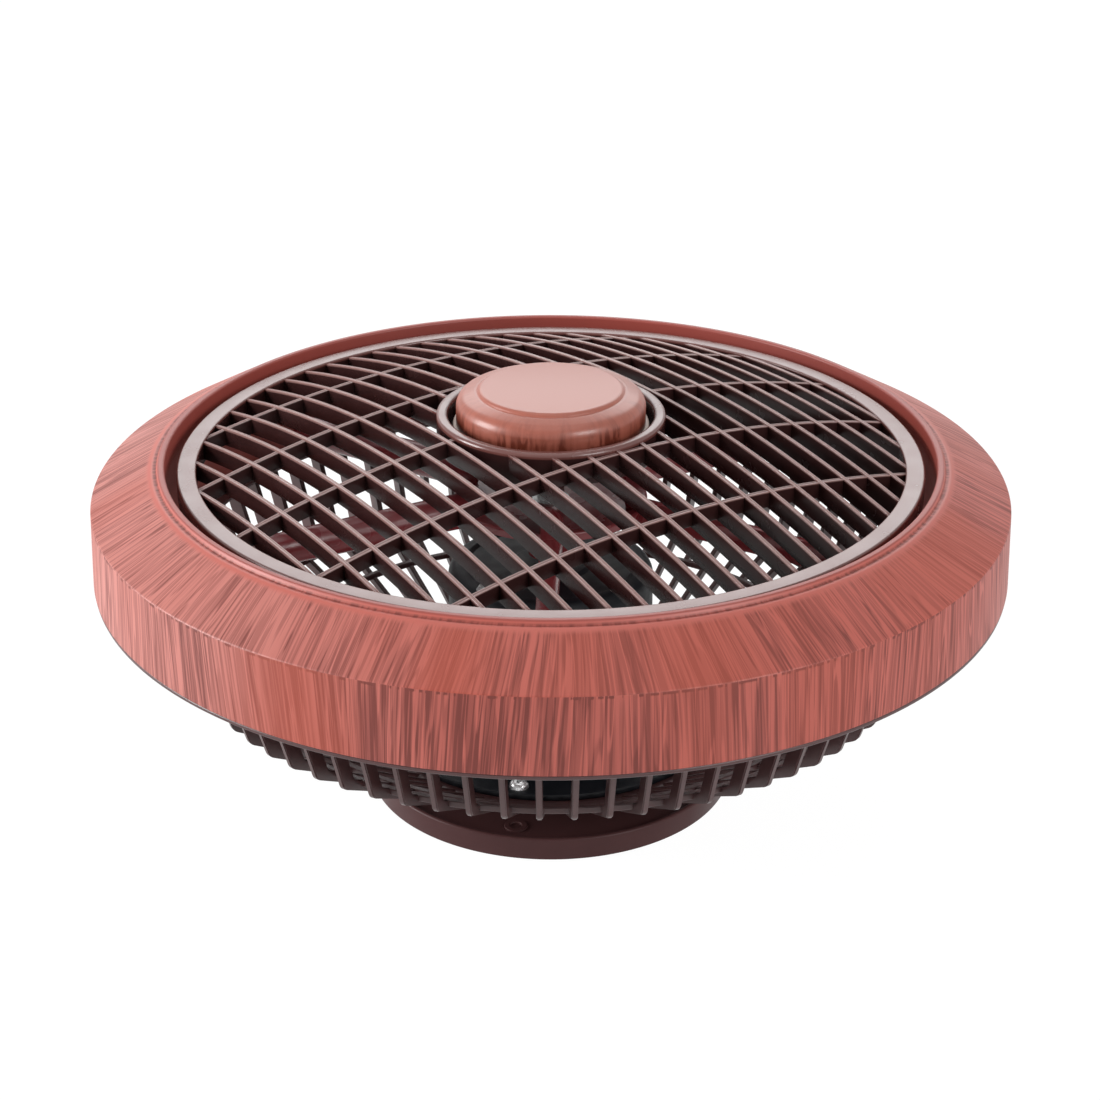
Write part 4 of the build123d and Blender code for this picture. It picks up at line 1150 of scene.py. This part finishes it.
def floor_finish():
    """Pale floor that the camera sees as white, with a faint shadow."""
    material = bpy.data.materials.new("floor")
    material.use_nodes = True
    tree = material.node_tree
    shader = tree.nodes["Principled BSDF"]
    shader.inputs["Base Color"].default_value = (0.85, 0.85, 0.85, 1.0)
    shader.inputs["Roughness"].default_value = 0.9
    glow = tree.nodes.new("ShaderNodeEmission")
    glow.inputs["Strength"].default_value = 1.07
    share = tree.nodes.new("ShaderNodeMath")
    share.operation = "MULTIPLY"
    share.inputs[1].default_value = 0.90
    mix = tree.nodes.new("ShaderNodeMixShader")
    tree.links.new(seen_rays(tree), share.inputs[0])
    tree.links.new(share.outputs[0], mix.inputs[0])
    tree.links.new(shader.outputs[0], mix.inputs[1])
    tree.links.new(glow.outputs[0], mix.inputs[2])
    tree.links.new(mix.outputs[0], tree.nodes["Material Output"].inputs["Surface"])
    return material


def soft_box(name, place, aim, size, power):
    """Rectangular lamp that faces a point."""
    lamp = bpy.data.lights.new(name, "AREA")
    lamp.shape = "RECTANGLE"
    lamp.size, lamp.size_y = size
    lamp.energy = power
    box = bpy.data.objects.new(name, lamp)
    bpy.context.scene.collection.objects.link(box)
    box.location = place
    box.rotation_euler = (Vector(aim) - Vector(place)).to_track_quat("-Z", "Y").to_euler()


PIECES = (
    FAN_OT_ceiling_plate, FAN_OT_cage, FAN_OT_motor, FAN_OT_impeller, FAN_OT_grille, FAN_OT_cap,
    FAN_OT_trim, FAN_OT_inner_finishes, FAN_OT_stage,
)
GROUPS = (
    ("fan_trim", FanTrimSizes), ("fan_grille", FanGrilleSizes), ("fan_cage", FanCageSizes),
    ("fan_blades", FanBladeSizes), ("fan_finishes", FanFinishes), ("fan_stage", FanStage),
)


class FAN_PT_panel(bpy.types.Panel):
    """Lists the fan's pieces and sizes"""

    bl_idname = "FAN_PT_panel"
    bl_label = "Cabin fan"
    bl_space_type = "VIEW_3D"
    bl_region_type = "UI"
    bl_category = "Cabin fan"

    def draw(self, context):
        column = self.layout.column(align=True)
        for piece in PIECES:
            column.operator(piece.bl_idname, text=piece.bl_label)
        for name, group in GROUPS:
            box = self.layout.box()
            box.label(text=group.__doc__)
            values = getattr(context.scene, name)
            for key in group.__annotations__:
                box.prop(values, key)


def register():
    """Register the groups, operators and panel."""
    for name, group in GROUPS:
        bpy.utils.register_class(group)
        setattr(bpy.types.Scene, name, PointerProperty(type=group))
    for piece in PIECES:
        bpy.utils.register_class(piece)
    bpy.utils.register_class(FAN_PT_panel)


def unregister():
    """Remove the panel, operators and groups."""
    bpy.utils.unregister_class(FAN_PT_panel)
    for piece in reversed(PIECES):
        bpy.utils.unregister_class(piece)
    for name, group in reversed(GROUPS):
        delattr(bpy.types.Scene, name)
        bpy.utils.unregister_class(group)


def main():
    """Build every piece."""
    register()
    bpy.ops.fan.ceiling_plate()
    bpy.ops.fan.cage()
    bpy.ops.fan.motor()
    bpy.ops.fan.impeller()
    bpy.ops.fan.grille()
    bpy.ops.fan.cap()
    bpy.ops.fan.trim()
    bpy.ops.fan.inner_finishes()
    bpy.ops.fan.stage()


if __name__ == "__main__":
    main()
